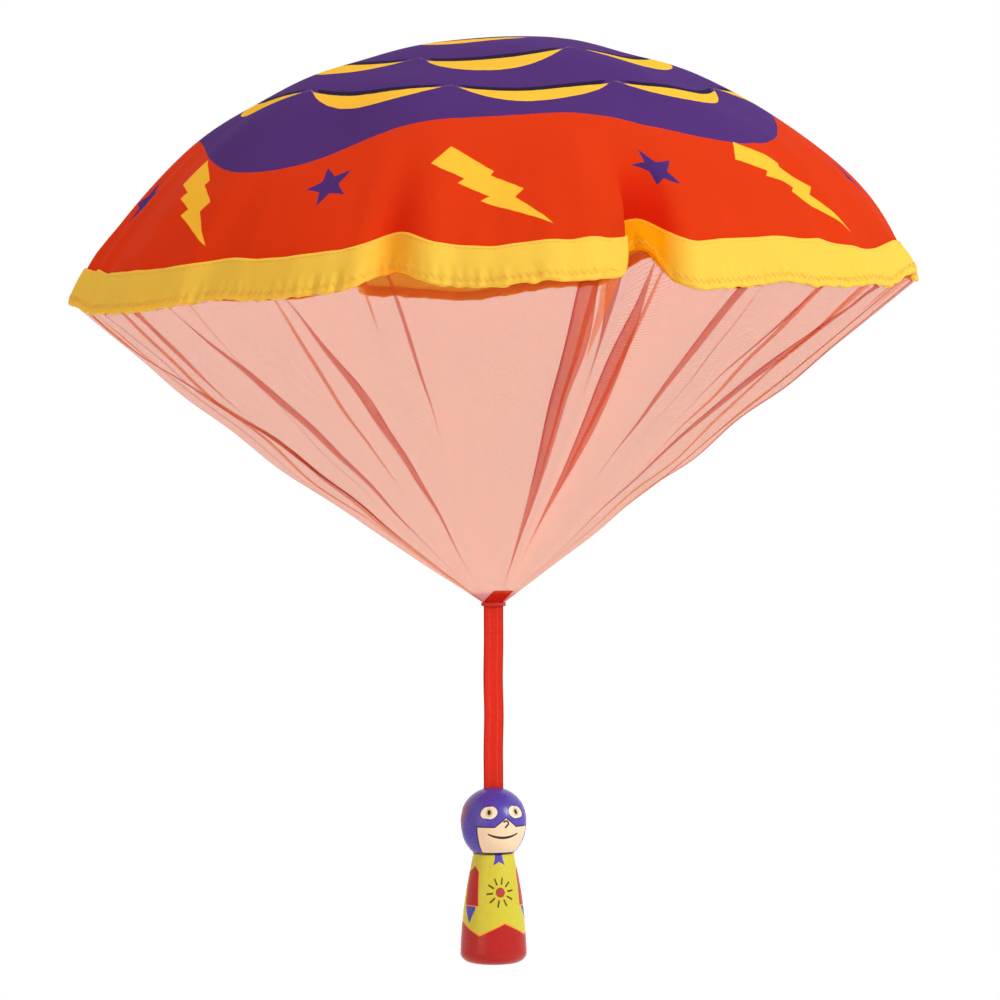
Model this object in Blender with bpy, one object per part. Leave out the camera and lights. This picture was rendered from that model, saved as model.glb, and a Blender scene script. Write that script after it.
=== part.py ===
"""Toy parachute: a printed cloth canopy closed below by a net cone, with a strap and a turned figure.

The crown of the canopy is at the origin, +Z is up, and the front of the figure faces -Y.
"""

import math

import bmesh
import bpy
from mathutils import Vector

# Canopy: a cloth circle that stands as a dome. Lengths are in metres.
DOME_RADIUS = 0.240
CANOPY_ARC = 0.258
CLOTH_THICKNESS = 0.0008
SIDE_FULLNESS = 0.0055
HEM_TILT = 0.003

# Hem: a band folded round the edge of the cloth, and the folds that take up its spare length.
BAND_HEIGHT = 0.020
BAND_THICKNESS = 0.0008
FOLD_DEPTH = 0.011
FOLD_WIDTH = 0.052
FOLD_LIFT = 0.011
FOLD_REACH = 0.095
HEM_RISE = 0.0055

# Net: a second circle, sewn inside the hem and drawn to a collar at its middle.
NET_THICKNESS = 0.0005
NET_SEAM_HEIGHT = 0.004
NET_DROP = 0.1585
NET_BULGE = 0.003
PLEAT_DEPTH = 0.0036
PLEAT_WIDTH = 0.026
COLLAR_HALF_WIDTH = 0.0054
COLLAR_HALF_DEPTH = 0.0018
COLLAR_HEIGHT = 0.002
BINDING_THICKNESS = 0.0007
BINDING_HEIGHT = 0.0015

# Strap: one ribbon, doubled, folded over inside the net and glued into the head.
STRAP_WIDTH = 0.010
STRAP_THICKNESS = 0.0012
STRAP_LENGTH = 0.091
STRAP_FOLD_HEIGHT = 0.0055
STRAP_FOLD_SLANT = 0.0050
STRAP_FOLD_THICKNESS = 0.0018
SWAY_DROP = 0.003
SWING_DROP = 0.008

# Figure: a turned head and body on a dowel.
HEAD_RADIUS = 0.0171
HEAD_UPPER_HEIGHT = 0.0170
HEAD_LOWER_HEIGHT = 0.0197
HEAD_FLAT_RADIUS = 0.0105
NOD_HEIGHT = 0.001
MORTISE_DEPTH = 0.008
DOWEL_RADIUS = 0.003
DOWEL_IN_HEAD = 0.009
DOWEL_IN_BODY = 0.012
BODY_HEIGHT = 0.0552
BODY_TOP_RADIUS = 0.0107
BODY_BASE_RADIUS = 0.0172
BODY_SWELL = 0.0013
BODY_TOP_ROUND = 0.0010
BODY_BASE_ROUND = 0.0062

# Clearances.
SEAM_GAP = 0.0003
MORTISE_GAP = 0.0004
DOWEL_GAP = 0.0003
HEAD_GAP = 0.0003

# Counts of the faceted surfaces.
AROUND = 72
CANOPY_RINGS = 7
NET_RINGS = 6
NET_RING_CROWDING = 1.2
COLLAR_STEPS = 1
COLLAR_SQUARENESS = 4
TURNED_STEPS = 48
HEAD_RINGS = 22
BODY_RINGS = 10
ROUND_STEPS = 6
END_STEPS = 6
DISC_STEPS = 16

# Each hem fold: its place in a turn from +X, its depth, width and lift as shares of the fold sizes,
# and how much steeper its lower side is.
HEM_FOLD_SHARES = (
    (0.045, 0.70, 0.90, 0.50, 0.3),
    (0.112, 0.80, 0.90, 0.60, 0.0),
    (0.178, 0.90, 1.65, 2.10, 0.0),
    (0.315, 1.00, 1.00, 1.00, 0.2),
    (0.405, 0.70, 0.80, 0.50, 0.0),
    (0.480, 0.55, 0.90, 0.10, 0.2),
    (0.550, 0.45, 0.85, 0.00, 0.0),
    (0.640, 0.30, 0.80, 0.15, 0.0),
    (0.714, 0.60, 0.90, 0.90, 0.9),
    (0.806, 1.10, 1.15, 1.40, 0.3),
    (0.890, 0.55, 0.65, 0.00, 0.0),
    (0.985, 0.30, 1.20, 0.55, 0.0),
)

# Where the hem hangs higher or lower between its folds: the place in a turn, the rise as a share of
# HEM_RISE, and half the width in turns.
HEM_RISE_SHARES = (
    (0.575, -1.00, 0.150),
    (0.775, 0.55, 0.035),
    (0.836, -0.27, 0.022),
    (0.262, -0.36, 0.060),
)

# Each main pleat of the net: its place in a turn from +X, and its depth and width as shares of the
# pleat sizes.
PLEAT_SHARES = (
    (0.053, 0.4, 1.0),
    (0.129, 0.5, 1.0),
    (0.173, 0.4, 1.0),
    (0.346, 0.5, 1.0),
    (0.397, 0.5, 1.0),
    (0.450, 0.4, 1.0),
    (0.525, 0.5, 1.0),
    (0.615, 0.7, 1.0),
    (0.669, 0.9, 1.0),
    (0.712, 0.3, 1.0),
    (0.786, 1.0, 1.0),
    (0.815, 0.6, 1.0),
    (0.850, 0.4, 1.0),
    (0.926, 0.6, 1.0),
)

FULL_ARC_SHARE = 0.75
FULL_SPREAD_SHARE = 0.33
BULGE_SIDE_SHARE = 0.6
PLEAT_FADE_SHARE = 0.14

# Places along the axis, from the crown down.
HEM_ANGLE = CANOPY_ARC / DOME_RADIUS
HEM_RADIUS = DOME_RADIUS * math.sin(HEM_ANGLE)
DOME_CENTRE_Z = -DOME_RADIUS - CLOTH_THICKNESS / 2
HEM_Z = DOME_CENTRE_Z + DOME_RADIUS * math.cos(HEM_ANGLE)
COLLAR_Z = HEM_Z - NET_DROP
SWAY_Z = COLLAR_Z - SWAY_DROP
SWING_Z = COLLAR_Z - SWING_DROP
HEAD_TOP_Z = COLLAR_Z - STRAP_LENGTH
NOD_Z = HEAD_TOP_Z + NOD_HEIGHT
TWIST_Z = (SWING_Z + NOD_Z) / 2
HEAD_CENTRE_Z = HEAD_TOP_Z - HEAD_UPPER_HEIGHT
HEAD_FLAT_DROP = HEAD_LOWER_HEIGHT * math.sqrt(1.0 - (HEAD_FLAT_RADIUS / HEAD_RADIUS) ** 2)
HEAD_BOTTOM_Z = HEAD_CENTRE_Z - HEAD_FLAT_DROP
BODY_TOP_Z = HEAD_BOTTOM_Z - HEAD_GAP
BODY_BOTTOM_Z = BODY_TOP_Z - BODY_HEIGHT

# Where the layers of the hem lie, from the middle of the cloth outwards.
BAND_OFFSET = CLOTH_THICKNESS / 2 + SEAM_GAP + BAND_THICKNESS / 2
NET_OFFSET = BAND_OFFSET + BAND_THICKNESS / 2 + SEAM_GAP + NET_THICKNESS / 2
BAND_FOLD_ARC = CANOPY_ARC + SEAM_GAP + BAND_THICKNESS / 2
BAND_TOP_ARC = CANOPY_ARC - BAND_HEIGHT


def clear_scene():
    for item in list(bpy.data.objects):
        bpy.data.objects.remove(item, do_unlink=True)


def make_material(name, colour, roughness, metallic=0.0):
    material = bpy.data.materials.new(name)
    material.use_nodes = True
    shader = material.node_tree.nodes["Principled BSDF"]
    shader.inputs["Base Color"].default_value = (*colour, 1.0)
    shader.inputs["Roughness"].default_value = roughness
    shader.inputs["Metallic"].default_value = metallic
    material.diffuse_color = (*colour, 1.0)
    return material


def add_object(name, mesh, material, parent=None, location=(0.0, 0.0, 0.0)):
    item = bpy.data.objects.new(name, mesh)
    bpy.context.scene.collection.objects.link(item)
    mesh.materials.append(material)
    item.location = Vector(location)
    item.parent = parent
    return item


def add_pivot(name, world_z, parent=None, parent_z=0.0):
    """An empty on a joint's axis, parented to the joint above it."""
    pivot = bpy.data.objects.new(name, None)
    bpy.context.scene.collection.objects.link(pivot)
    pivot.empty_display_size = STRAP_WIDTH
    pivot.parent = parent
    pivot.location = (0.0, 0.0, world_z - parent_z)
    return pivot


def smooth_step(value):
    value = min(1.0, max(0.0, value))
    return value * value * (3.0 - 2.0 * value)


def bell(value):
    """1 at zero, falling smoothly to 0 at 1 and -1."""
    return 0.5 + 0.5 * math.cos(math.pi * min(1.0, abs(value)))


def turn_between(turn, centre):
    """The signed way from centre to turn, in turns."""
    return (turn - centre + 0.5) % 1.0 - 0.5


def hem_fold(turn):
    """How far the folds push the hem in and lift it, at a place round the hem."""
    depth = 0.0
    lift = 0.0
    half_turn = FOLD_WIDTH / 2 / (2 * math.pi * HEM_RADIUS)
    for centre, depth_share, width_share, lift_share, steepness in HEM_FOLD_SHARES:
        away = turn_between(turn, centre) / (half_turn * width_share)
        if away < 0.0:
            away *= 1.0 + steepness
        depth = max(depth, FOLD_DEPTH * depth_share * bell(away))
        lift = max(lift, FOLD_LIFT * lift_share * bell(away))
    return depth, lift


def hem_rise(turn):
    """How much higher the hem hangs at a place round it, apart from the folds."""
    rise = 0.0
    for centre, rise_share, half_share in HEM_RISE_SHARES:
        rise += HEM_RISE * rise_share * bell(turn_between(turn, centre) / half_share)
    return rise


def canopy_surface(arc, turn):
    """A point on the middle of the cloth, at a distance along the cloth from the crown."""
    angle = arc / DOME_RADIUS
    azimuth = 2 * math.pi * turn
    outward = Vector((math.cos(azimuth), math.sin(azimuth), 0.0))
    normal = outward * math.sin(angle) + Vector((0.0, 0.0, math.cos(angle)))
    share = arc / CANOPY_ARC
    fold_depth, fold_lift = hem_fold(turn)
    near_hem = smooth_step(1.0 - (BAND_TOP_ARC - arc) / FOLD_REACH)
    full = max(0.0, outward.x) ** 2 * bell((share - FULL_ARC_SHARE) / FULL_SPREAD_SHARE)
    push = SIDE_FULLNESS * full - fold_depth * near_hem
    point = Vector((0.0, 0.0, DOME_CENTRE_Z)) + normal * (DOME_RADIUS + push)
    point.z += HEM_TILT * outward.x * smooth_step(share) + (fold_lift + hem_rise(turn)) * near_hem
    return point


def canopy_normal(arc, turn):
    arc_step = CANOPY_ARC / 1000
    turn_step = 1.0 / (20 * AROUND)
    along = canopy_surface(arc + arc_step, turn) - canopy_surface(arc - arc_step, turn)
    around = canopy_surface(arc, turn + turn_step) - canopy_surface(arc, turn - turn_step)
    return along.cross(around).normalized()


def hem_layer(arc, turn, offset):
    return canopy_surface(arc, turn) + canopy_normal(arc, turn) * offset


def ring_of(place, *values):
    return [place(*values, index / AROUND) for index in range(AROUND)]


def skin_rings(name, rings, crown=None):
    """A mesh of triangles over a stack of rings, closed at a crown point if there is one."""
    mesh = bpy.data.meshes.new(name)
    shape = bmesh.new()
    rows = [[shape.verts.new(point) for point in ring] for ring in rings]
    for upper, lower in zip(rows, rows[1:]):
        for index in range(AROUND):
            after = (index + 1) % AROUND
            shape.faces.new((upper[index], lower[index], lower[after]))
            shape.faces.new((upper[index], lower[after], upper[after]))
    if crown is not None:
        top = shape.verts.new(crown)
        for index in range(AROUND):
            shape.faces.new((top, rows[0][index], rows[0][(index + 1) % AROUND]))
    shape.normal_update()
    shape.to_mesh(mesh)
    shape.free()
    mesh.shade_smooth()
    return mesh


def thicken(item, thickness):
    shell = item.modifiers.new("cloth thickness", "SOLIDIFY")
    shell.thickness = thickness
    shell.offset = 0.0
    shell.use_even_offset = True
    shell.use_rim = True


def make_canopy(material):
    arcs = [BAND_TOP_ARC * step / CANOPY_RINGS for step in range(1, CANOPY_RINGS + 1)]
    arcs.append(CANOPY_ARC)
    rings = [ring_of(canopy_surface, arc) for arc in arcs]
    mesh = skin_rings("canopy_cloth", rings, canopy_surface(0.0, 0.0))
    thicken(add_object("canopy_cloth", mesh, material), CLOTH_THICKNESS)


def make_hem_band(material):
    section = (
        (BAND_TOP_ARC, BAND_OFFSET),
        (BAND_FOLD_ARC, BAND_OFFSET),
        (BAND_FOLD_ARC, -BAND_OFFSET),
        (BAND_TOP_ARC, -BAND_OFFSET),
    )
    rings = []
    for arc, offset in section:
        rings.append([hem_layer(arc, index / AROUND, offset) for index in range(AROUND)])
    mesh = skin_rings("hem_band", rings)
    thicken(add_object("hem_band", mesh, material), BAND_THICKNESS)


def pleat(turn):
    """How far the pleats stand out of the net beside the hem."""
    depth = 0.0
    half_turn = PLEAT_WIDTH / 2 / (2 * math.pi * HEM_RADIUS)
    for centre, depth_share, width_share in PLEAT_SHARES:
        nearest = round(centre * AROUND) / AROUND
        away = turn_between(turn, nearest) / (half_turn * width_share)
        depth = max(depth, PLEAT_DEPTH * depth_share * bell(away))
    return depth


def collar_outline(turn, out):
    """A point on the oblong opening of the collar, grown outwards by a distance."""
    power = 2 / COLLAR_SQUARENESS
    across = math.cos(2 * math.pi * turn)
    along = math.sin(2 * math.pi * turn)
    x = (COLLAR_HALF_WIDTH + out) * math.copysign(abs(across) ** power, across)
    y = (COLLAR_HALF_DEPTH + out) * math.copysign(abs(along) ** power, along)
    return x, y


def collar_point(height, turn):
    return Vector((*collar_outline(turn, NET_THICKNESS / 2), COLLAR_Z + height))


def net_surface(share, turn):
    """A point on the net cone, from the hem at 0 to the top of the collar at 1."""
    start = hem_layer(BAND_FOLD_ARC, turn, -NET_OFFSET)
    end = collar_point(COLLAR_HEIGHT, turn)
    azimuth = 2 * math.pi * turn
    outward = Vector((math.cos(azimuth), math.sin(azimuth), 0.0))
    down = Vector((0.0, 0.0, -1.0))
    normal = (outward * NET_DROP + down * HEM_RADIUS).normalized()
    bulge = NET_BULGE * (1.0 - BULGE_SIDE_SHARE * outward.x) * math.sin(math.pi * share)
    fade = smooth_step(share / PLEAT_FADE_SHARE) * smooth_step((1.0 - share) / PLEAT_FADE_SHARE)
    stand = pleat(turn) * (1.0 - share) * fade
    return start.lerp(end, share) + normal * (bulge + stand)


def make_net(material):
    rings = [
        [hem_layer(CANOPY_ARC - NET_SEAM_HEIGHT, index / AROUND, -NET_OFFSET) for index in range(AROUND)],
        ring_of(net_surface, 0.0),
    ]
    for step in range(1, NET_RINGS + 1):
        share = 1.0 - (1.0 - step / NET_RINGS) ** NET_RING_CROWDING
        rings.append(ring_of(net_surface, share))
    for step in range(COLLAR_STEPS):
        rings.append(ring_of(collar_point, COLLAR_HEIGHT * (COLLAR_STEPS - 1 - step) / COLLAR_STEPS))
    mesh = skin_rings("net_cone", rings)
    thicken(add_object("net_cone", mesh, material), NET_THICKNESS)


def make_binding(material):
    """The thread whipped round the collar of the net, as one flattened ring."""
    near = SEAM_GAP + NET_THICKNESS
    middle = (COLLAR_HEIGHT - BINDING_HEIGHT) / 2
    section = []
    for across, height in ((0.0, 0.0), (1.0, 0.2), (1.0, 0.8), (0.0, 1.0)):
        section.append((near + BINDING_THICKNESS * across, middle + BINDING_HEIGHT * height))
    mesh = bpy.data.meshes.new("tip_binding")
    shape = bmesh.new()
    rows = []
    for index in range(AROUND // 2):
        row = []
        for out, height in section:
            place = collar_outline(2 * index / AROUND, out)
            row.append(shape.verts.new((*place, COLLAR_Z + height)))
        rows.append(row)
    for row, after in zip(rows, rows[1:] + rows[:1]):
        for side in range(len(section)):
            other = (side + 1) % len(section)
            shape.faces.new((row[side], after[side], after[other], row[other]))
    bmesh.ops.recalc_face_normals(shape, faces=shape.faces)
    shape.to_mesh(mesh)
    shape.free()
    mesh.shade_smooth()
    mesh.set_sharp_from_angle(angle=math.radians(40))
    add_object("tip_binding", mesh, material)


def extruded(name, outline, direction, distance):
    """A closed prism: the outline's points, moved half the distance each way along the direction."""
    mesh = bpy.data.meshes.new(name)
    shape = bmesh.new()
    half = Vector(direction) * (distance / 2)
    first = [shape.verts.new(Vector(point) - half) for point in outline]
    face = shape.faces.new(first)
    grown = bmesh.ops.extrude_face_region(shape, geom=[face])
    moved = [item for item in grown["geom"] if isinstance(item, bmesh.types.BMVert)]
    bmesh.ops.translate(shape, verts=moved, vec=half * 2)
    bmesh.ops.recalc_face_normals(shape, faces=shape.faces)
    shape.to_mesh(mesh)
    shape.free()
    return mesh


def arc_points(centre, radius, start, end, steps):
    """Points on an arc in a plane, as pairs of across and up."""
    points = []
    for step in range(steps + 1):
        angle = start + (end - start) * step / steps
        points.append((centre[0] + radius * math.cos(angle), centre[1] + radius * math.sin(angle)))
    return points


def strap_length(name, top, bottom, round_top, round_bottom, pivot, pivot_z, material):
    """A stretch of the strap whose rounded ends turn on a hinge along X."""
    half = STRAP_THICKNESS / 2
    outline = []
    if round_top:
        outline += arc_points((0.0, top), half, 0.0, math.pi, END_STEPS)
    else:
        outline += [(half, top), (-half, top)]
    if round_bottom:
        outline += arc_points((0.0, bottom), half, math.pi, 2 * math.pi, END_STEPS)
    else:
        outline += [(-half, bottom), (half, bottom)]
    points = [(0.0, across, up - pivot_z) for across, up in outline]
    mesh = extruded(name, points, (1.0, 0.0, 0.0), STRAP_WIDTH)
    return add_object(name, mesh, material, pivot)


def make_strap(material, sway, swing, twist, nod):
    half_width = STRAP_WIDTH / 2
    hinge_gap = STRAP_THICKNESS / 2 + SEAM_GAP

    # The fold inside the net slants to one side, as wide as the strap.
    stem_z = SWAY_Z + half_width + SEAM_GAP
    fold_z = stem_z + STRAP_FOLD_HEIGHT
    outline = (
        (-half_width, 0.0, stem_z),
        (half_width, 0.0, stem_z),
        (half_width + STRAP_FOLD_SLANT, 0.0, fold_z),
        (-half_width + STRAP_FOLD_SLANT, 0.0, fold_z),
    )
    mesh = extruded("strap_fold", outline, (0.0, 1.0, 0.0), STRAP_FOLD_THICKNESS)
    add_object("strap_fold", mesh, material)

    # The top turns sideways in the collar, on a round end about its own pivot.
    disc = arc_points((0.0, 0.0), half_width, 0.0, math.pi, DISC_STEPS)
    outline = [(across, 0.0, up) for across, up in disc]
    low = SWING_Z + hinge_gap - SWAY_Z
    outline += [(-half_width, 0.0, low), (half_width, 0.0, low)]
    mesh = extruded("strap_top", outline, (0.0, 1.0, 0.0), STRAP_THICKNESS)
    add_object("strap_top", mesh, material, sway)

    strap_length("strap_upper", SWING_Z, TWIST_Z + SEAM_GAP / 2, True, False, swing, SWING_Z, material)
    strap_length("strap_lower", TWIST_Z - SEAM_GAP / 2, NOD_Z, False, True, twist, TWIST_Z, material)
    end_bottom = HEAD_TOP_Z - MORTISE_DEPTH + MORTISE_GAP
    strap_length("strap_end", NOD_Z - hinge_gap, end_bottom, False, False, nod, NOD_Z, material)


def turned(name, profile, material, parent, parent_z):
    """A solid turned about Z from a profile of radius and height, its outer side first, top to bottom."""
    mesh = bpy.data.meshes.new(name)
    points = [(radius, 0.0, height - parent_z) for radius, height in profile]
    edges = [(index, index + 1) for index in range(len(points) - 1)]
    mesh.from_pydata(points, edges, [])
    item = add_object(name, mesh, material, parent)
    lathe = item.modifiers.new("turning", "SCREW")
    lathe.axis = "Z"
    lathe.steps = TURNED_STEPS
    lathe.render_steps = TURNED_STEPS
    lathe.use_merge_vertices = True
    lathe.merge_threshold = 0.00001
    lathe.use_smooth_shade = True
    return item


def head_profile():
    flat_angle = -math.asin(HEAD_FLAT_DROP / HEAD_LOWER_HEIGHT)
    profile = []
    for step in range(HEAD_RINGS + 1):
        angle = math.pi / 2 + (flat_angle - math.pi / 2) * step / HEAD_RINGS
        height = HEAD_UPPER_HEIGHT if angle > 0.0 else HEAD_LOWER_HEIGHT
        profile.append((HEAD_RADIUS * math.cos(angle), HEAD_CENTRE_Z + height * math.sin(angle)))
    profile[0] = (0.0, HEAD_TOP_Z)
    hole = DOWEL_RADIUS + DOWEL_GAP
    hole_top = HEAD_BOTTOM_Z + DOWEL_IN_HEAD + DOWEL_GAP
    return profile + [(hole, HEAD_BOTTOM_Z), (hole, hole_top), (0.0, hole_top)]


def body_profile():
    hole = DOWEL_RADIUS + DOWEL_GAP
    hole_bottom = BODY_TOP_Z - DOWEL_IN_BODY - DOWEL_GAP
    profile = [(0.0, hole_bottom), (hole, hole_bottom), (hole, BODY_TOP_Z)]
    centre = (BODY_TOP_RADIUS - BODY_TOP_ROUND, BODY_TOP_Z - BODY_TOP_ROUND)
    profile += arc_points(centre, BODY_TOP_ROUND, math.pi / 2, 0.0, ROUND_STEPS)
    side_top = BODY_TOP_Z - BODY_TOP_ROUND
    side_bottom = BODY_BOTTOM_Z + BODY_BASE_ROUND
    for step in range(1, BODY_RINGS):
        share = step / BODY_RINGS
        radius = BODY_TOP_RADIUS + (BODY_BASE_RADIUS - BODY_TOP_RADIUS) * share
        radius += BODY_SWELL * math.sin(math.pi * share)
        profile.append((radius, side_top + (side_bottom - side_top) * share))
    centre = (BODY_BASE_RADIUS - BODY_BASE_ROUND, side_bottom)
    profile += arc_points(centre, BODY_BASE_ROUND, 0.0, -math.pi / 2, ROUND_STEPS)
    return profile + [(0.0, BODY_BOTTOM_Z)]


def dowel_profile():
    top = HEAD_BOTTOM_Z + DOWEL_IN_HEAD
    bottom = BODY_TOP_Z - DOWEL_IN_BODY
    return [(0.0, top), (DOWEL_RADIUS, top), (DOWEL_RADIUS, bottom), (0.0, bottom)]


def cut_mortise(head, nod):
    """The slot across the top of the head that the end of the strap is glued into."""
    half_width = STRAP_WIDTH / 2 + MORTISE_GAP
    half_depth = STRAP_THICKNESS / 2 + MORTISE_GAP
    rise = HEAD_RADIUS / 4
    bottom = HEAD_TOP_Z - MORTISE_DEPTH
    side = half_width - half_depth
    outline = arc_points((side, 0.0), half_depth, -math.pi / 2, math.pi / 2, END_STEPS)
    outline += arc_points((-side, 0.0), half_depth, math.pi / 2, 3 * math.pi / 2, END_STEPS)
    middle = (HEAD_TOP_Z + rise + bottom) / 2 - NOD_Z
    points = [(across, along, middle) for across, along in outline]
    mesh = extruded("mortise_cutter", points, (0.0, 0.0, 1.0), HEAD_TOP_Z + rise - bottom)
    cutter = bpy.data.objects.new("mortise_cutter", mesh)
    bpy.context.scene.collection.objects.link(cutter)
    cutter.parent = nod
    cutter.hide_render = True
    cutter.display_type = "WIRE"
    cut = head.modifiers.new("mortise", "BOOLEAN")
    cut.operation = "DIFFERENCE"
    cut.solver = "EXACT"
    cut.object = cutter


def make_figure(head_paint, body_paint, bare_wood, nod):
    head = turned("figure_head", head_profile(), head_paint, nod, NOD_Z)
    cut_mortise(head, nod)
    turned("figure_body", body_profile(), body_paint, nod, NOD_Z)
    turned("neck_dowel", dowel_profile(), bare_wood, nod, NOD_Z)


def build():
    clear_scene()
    printed_cloth = make_material("printed_cloth", (0.76, 0.05, 0.02), 0.75)
    band_cloth = make_material("band_cloth", (0.93, 0.52, 0.04), 0.75)
    net_cloth = make_material("net_cloth", (0.80, 0.22, 0.14), 0.80)
    thread = make_material("thread", (0.60, 0.03, 0.02), 0.80)
    ribbon = make_material("ribbon", (0.75, 0.03, 0.02), 0.45)
    head_paint = make_material("head_paint", (0.11, 0.08, 0.38), 0.25)
    body_paint = make_material("body_paint", (0.80, 0.74, 0.06), 0.30)
    bare_wood = make_material("bare_wood", (0.62, 0.43, 0.25), 0.65)

    make_canopy(printed_cloth)
    make_hem_band(band_cloth)
    make_net(net_cloth)
    make_binding(thread)

    sway = add_pivot("sway_pivot", SWAY_Z)
    swing = add_pivot("swing_pivot", SWING_Z, sway, SWAY_Z)
    twist = add_pivot("twist_pivot", TWIST_Z, swing, SWING_Z)
    nod = add_pivot("nod_pivot", NOD_Z, twist, TWIST_Z)
    make_strap(ribbon, sway, swing, twist, nod)
    make_figure(head_paint, body_paint, bare_wood, nod)


build()
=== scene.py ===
"""The toy parachute's looks: printed canopy, hem, net, ribbon and painted figure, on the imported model."""

import math

import bpy
import numpy as np
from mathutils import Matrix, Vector


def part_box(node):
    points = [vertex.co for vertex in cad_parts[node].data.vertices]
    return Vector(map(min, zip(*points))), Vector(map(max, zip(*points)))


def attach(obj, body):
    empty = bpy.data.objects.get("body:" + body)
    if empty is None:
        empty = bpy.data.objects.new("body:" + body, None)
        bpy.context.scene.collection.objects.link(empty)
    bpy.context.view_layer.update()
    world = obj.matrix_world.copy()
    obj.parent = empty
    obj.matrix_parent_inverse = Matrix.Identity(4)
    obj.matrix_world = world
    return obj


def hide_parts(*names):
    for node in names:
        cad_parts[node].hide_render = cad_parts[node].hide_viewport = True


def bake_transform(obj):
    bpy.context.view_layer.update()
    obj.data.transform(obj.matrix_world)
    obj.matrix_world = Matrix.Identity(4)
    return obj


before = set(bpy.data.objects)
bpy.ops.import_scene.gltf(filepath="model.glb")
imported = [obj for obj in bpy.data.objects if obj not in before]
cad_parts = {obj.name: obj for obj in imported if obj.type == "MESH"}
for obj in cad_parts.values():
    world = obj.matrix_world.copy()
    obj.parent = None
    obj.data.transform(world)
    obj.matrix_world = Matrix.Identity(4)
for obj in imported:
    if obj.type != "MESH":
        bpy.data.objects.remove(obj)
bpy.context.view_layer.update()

# Canopy, hem and net, as in the part. Lengths are in metres.
DOME_RADIUS = 0.240
CANOPY_ARC = 0.258
CLOTH_THICKNESS = 0.0008
SIDE_FULLNESS = 0.0048
HEM_TILT = 0.003
BAND_HEIGHT = 0.020
BAND_THICKNESS = 0.0008
FOLD_DEPTH = 0.011
FOLD_WIDTH = 0.052
FOLD_LIFT = 0.011
FOLD_REACH = 0.095
NET_THICKNESS = 0.0005
NET_DROP = 0.1585
NET_BULGE = 0.003
PLEAT_DEPTH = 0.0036
PLEAT_WIDTH = 0.026
COLLAR_HALF_WIDTH = 0.0054
COLLAR_HALF_DEPTH = 0.0018
COLLAR_HEIGHT = 0.002
COLLAR_SQUARENESS = 4
SEAM_GAP = 0.0003
FULL_ARC_SHARE = 0.75
FULL_SPREAD_SHARE = 0.33
BULGE_SIDE_SHARE = 0.6
PLEAT_FADE_SHARE = 0.14

# Each hem fold: its place in a turn from +X, its depth, width and lift as shares of the fold sizes, how
# much steeper its lower side is, how far that side tucks behind its neighbour, as a share, and how far
# the fold leans over the height of the hem, in turns.
HEM_FOLDS = (
    (0.045, 0.7, 0.9, 0.5, 0.3, 0, 0),
    (0.112, 0.8, 0.9, 0.6, 0, 0, 0),
    (0.178, 0.9, 1.65, 2.1, 0, 0, 0),
    (0.315, 1, 1, 1, 0.2, 0.5, 0),
    (0.405, 0.7, 0.8, 0.5, 0, 0, 0),
    (0.475, 0.45, 0.9, 0.1, 0.2, 0, 0),
    (0.537, 0.4, 0.7, 0, 0, 0, 0),
    (0.64, 0.3, 0.8, 0, 0, 0, 0),
    (0.7125, 0.95, 0.92, 1.12, 0.3, 0.1, 0),
    (0.803, 1.5, 1.05, 1.95, 0.3, 1, 0.0035),
    (0.898, 0.4, 0.7, 0, 0, 0, 0),
    (0.985, 0.3, 1.2, 0.15, 0, 0, 0),
)

# Each slow rise or droop of the hem: its place in a turn, its height and its half width in turns.
HEM_RISES = (
    (0.585, -0.007, 0.11),
    (0.641, 0.0036, 0.018),
    (0.678, -0.003, 0.024),
    (0.702, 0.0016, 0.01),
    (0.728, 0.0034, 0.026),
    (0.772, 0.0016, 0.03),
    (0.789, 0.0028, 0.013),
    (0.852, 0.003, 0.055),
    (0.868, 0.0018, 0.024),
    (0.893, 0.0032, 0.02),
    (0.918, -0.003, 0.036),
    (0.965, 0.0015, 0.03),
    (0.11, 0.0036, 0.062),
    (0.205, 0.0042, 0.038),
    (0.262, -0.0012, 0.06),
    (0.524, -0.0034, 0.028),
)

# The same for the lowest part of the hem alone.
EDGE_RISES = (
    (0.8065, 0.006, 0.0095),
    (0.833, -0.0032, 0.04),
    (0.884, -0.003, 0.03),
    (0.915, 0.0026, 0.018),
    (0.962, 0.0048, 0.052),
    (0.03, 0.0042, 0.05),
    (0.524, 0.003, 0.028),
)
EDGE_REACH = 0.024
TUCK = 0.006
TUCK_REACH = 0.075

# One shoulder is flatter, the net draws the hem in below it, and the hem turns in at one more place.
SHOULDER_TURN = 0.5
SHOULDER_HALF_TURN = 0.30
SHOULDER_DIP = 0.0033
SHOULDER_ARC = 0.090
SHOULDER_REACH = 0.075
HEM_PULL = 0.0038
HEM_PULL_REACH = 0.032
HEM_TURN_IN = 0.0050
HEM_TURN_IN_TURN = 0.852
HEM_TURN_IN_HALF_TURN = 0.055
HEM_TURN_IN_REACH = 0.026

# Each low ridge or valley across the crown: its height, its place along X and its half width.
CROWN_RIDGES = ((-0.0015, -0.020, 0.040), (0.0018, 0.042, 0.034))

# The height, length and seed of each undulation of the cloth.
CLOTH_WAVES = (0.0013, 0.085, 3)
SIDE_RIPPLES = (0.0007, 0.060, 5)
HEM_RIPPLES = (0.0004, 0.026, 6)
LIFT_RIPPLES = (0.0006, 0.075, 7)
BAND_RIPPLES = ((0.00030, 0.0075, 11), (0.0003, 0.016, 12))
BAND_FOOT_RIPPLES = (0.00016, 0.0038, 14)
BAND_EDGE_RIPPLES = (0.00035, 0.0095, 13)
NET_RIPPLES = (0.0005, 0.012, 21)
NET_WAVES = (0.0009, 0.07, 22)

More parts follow.
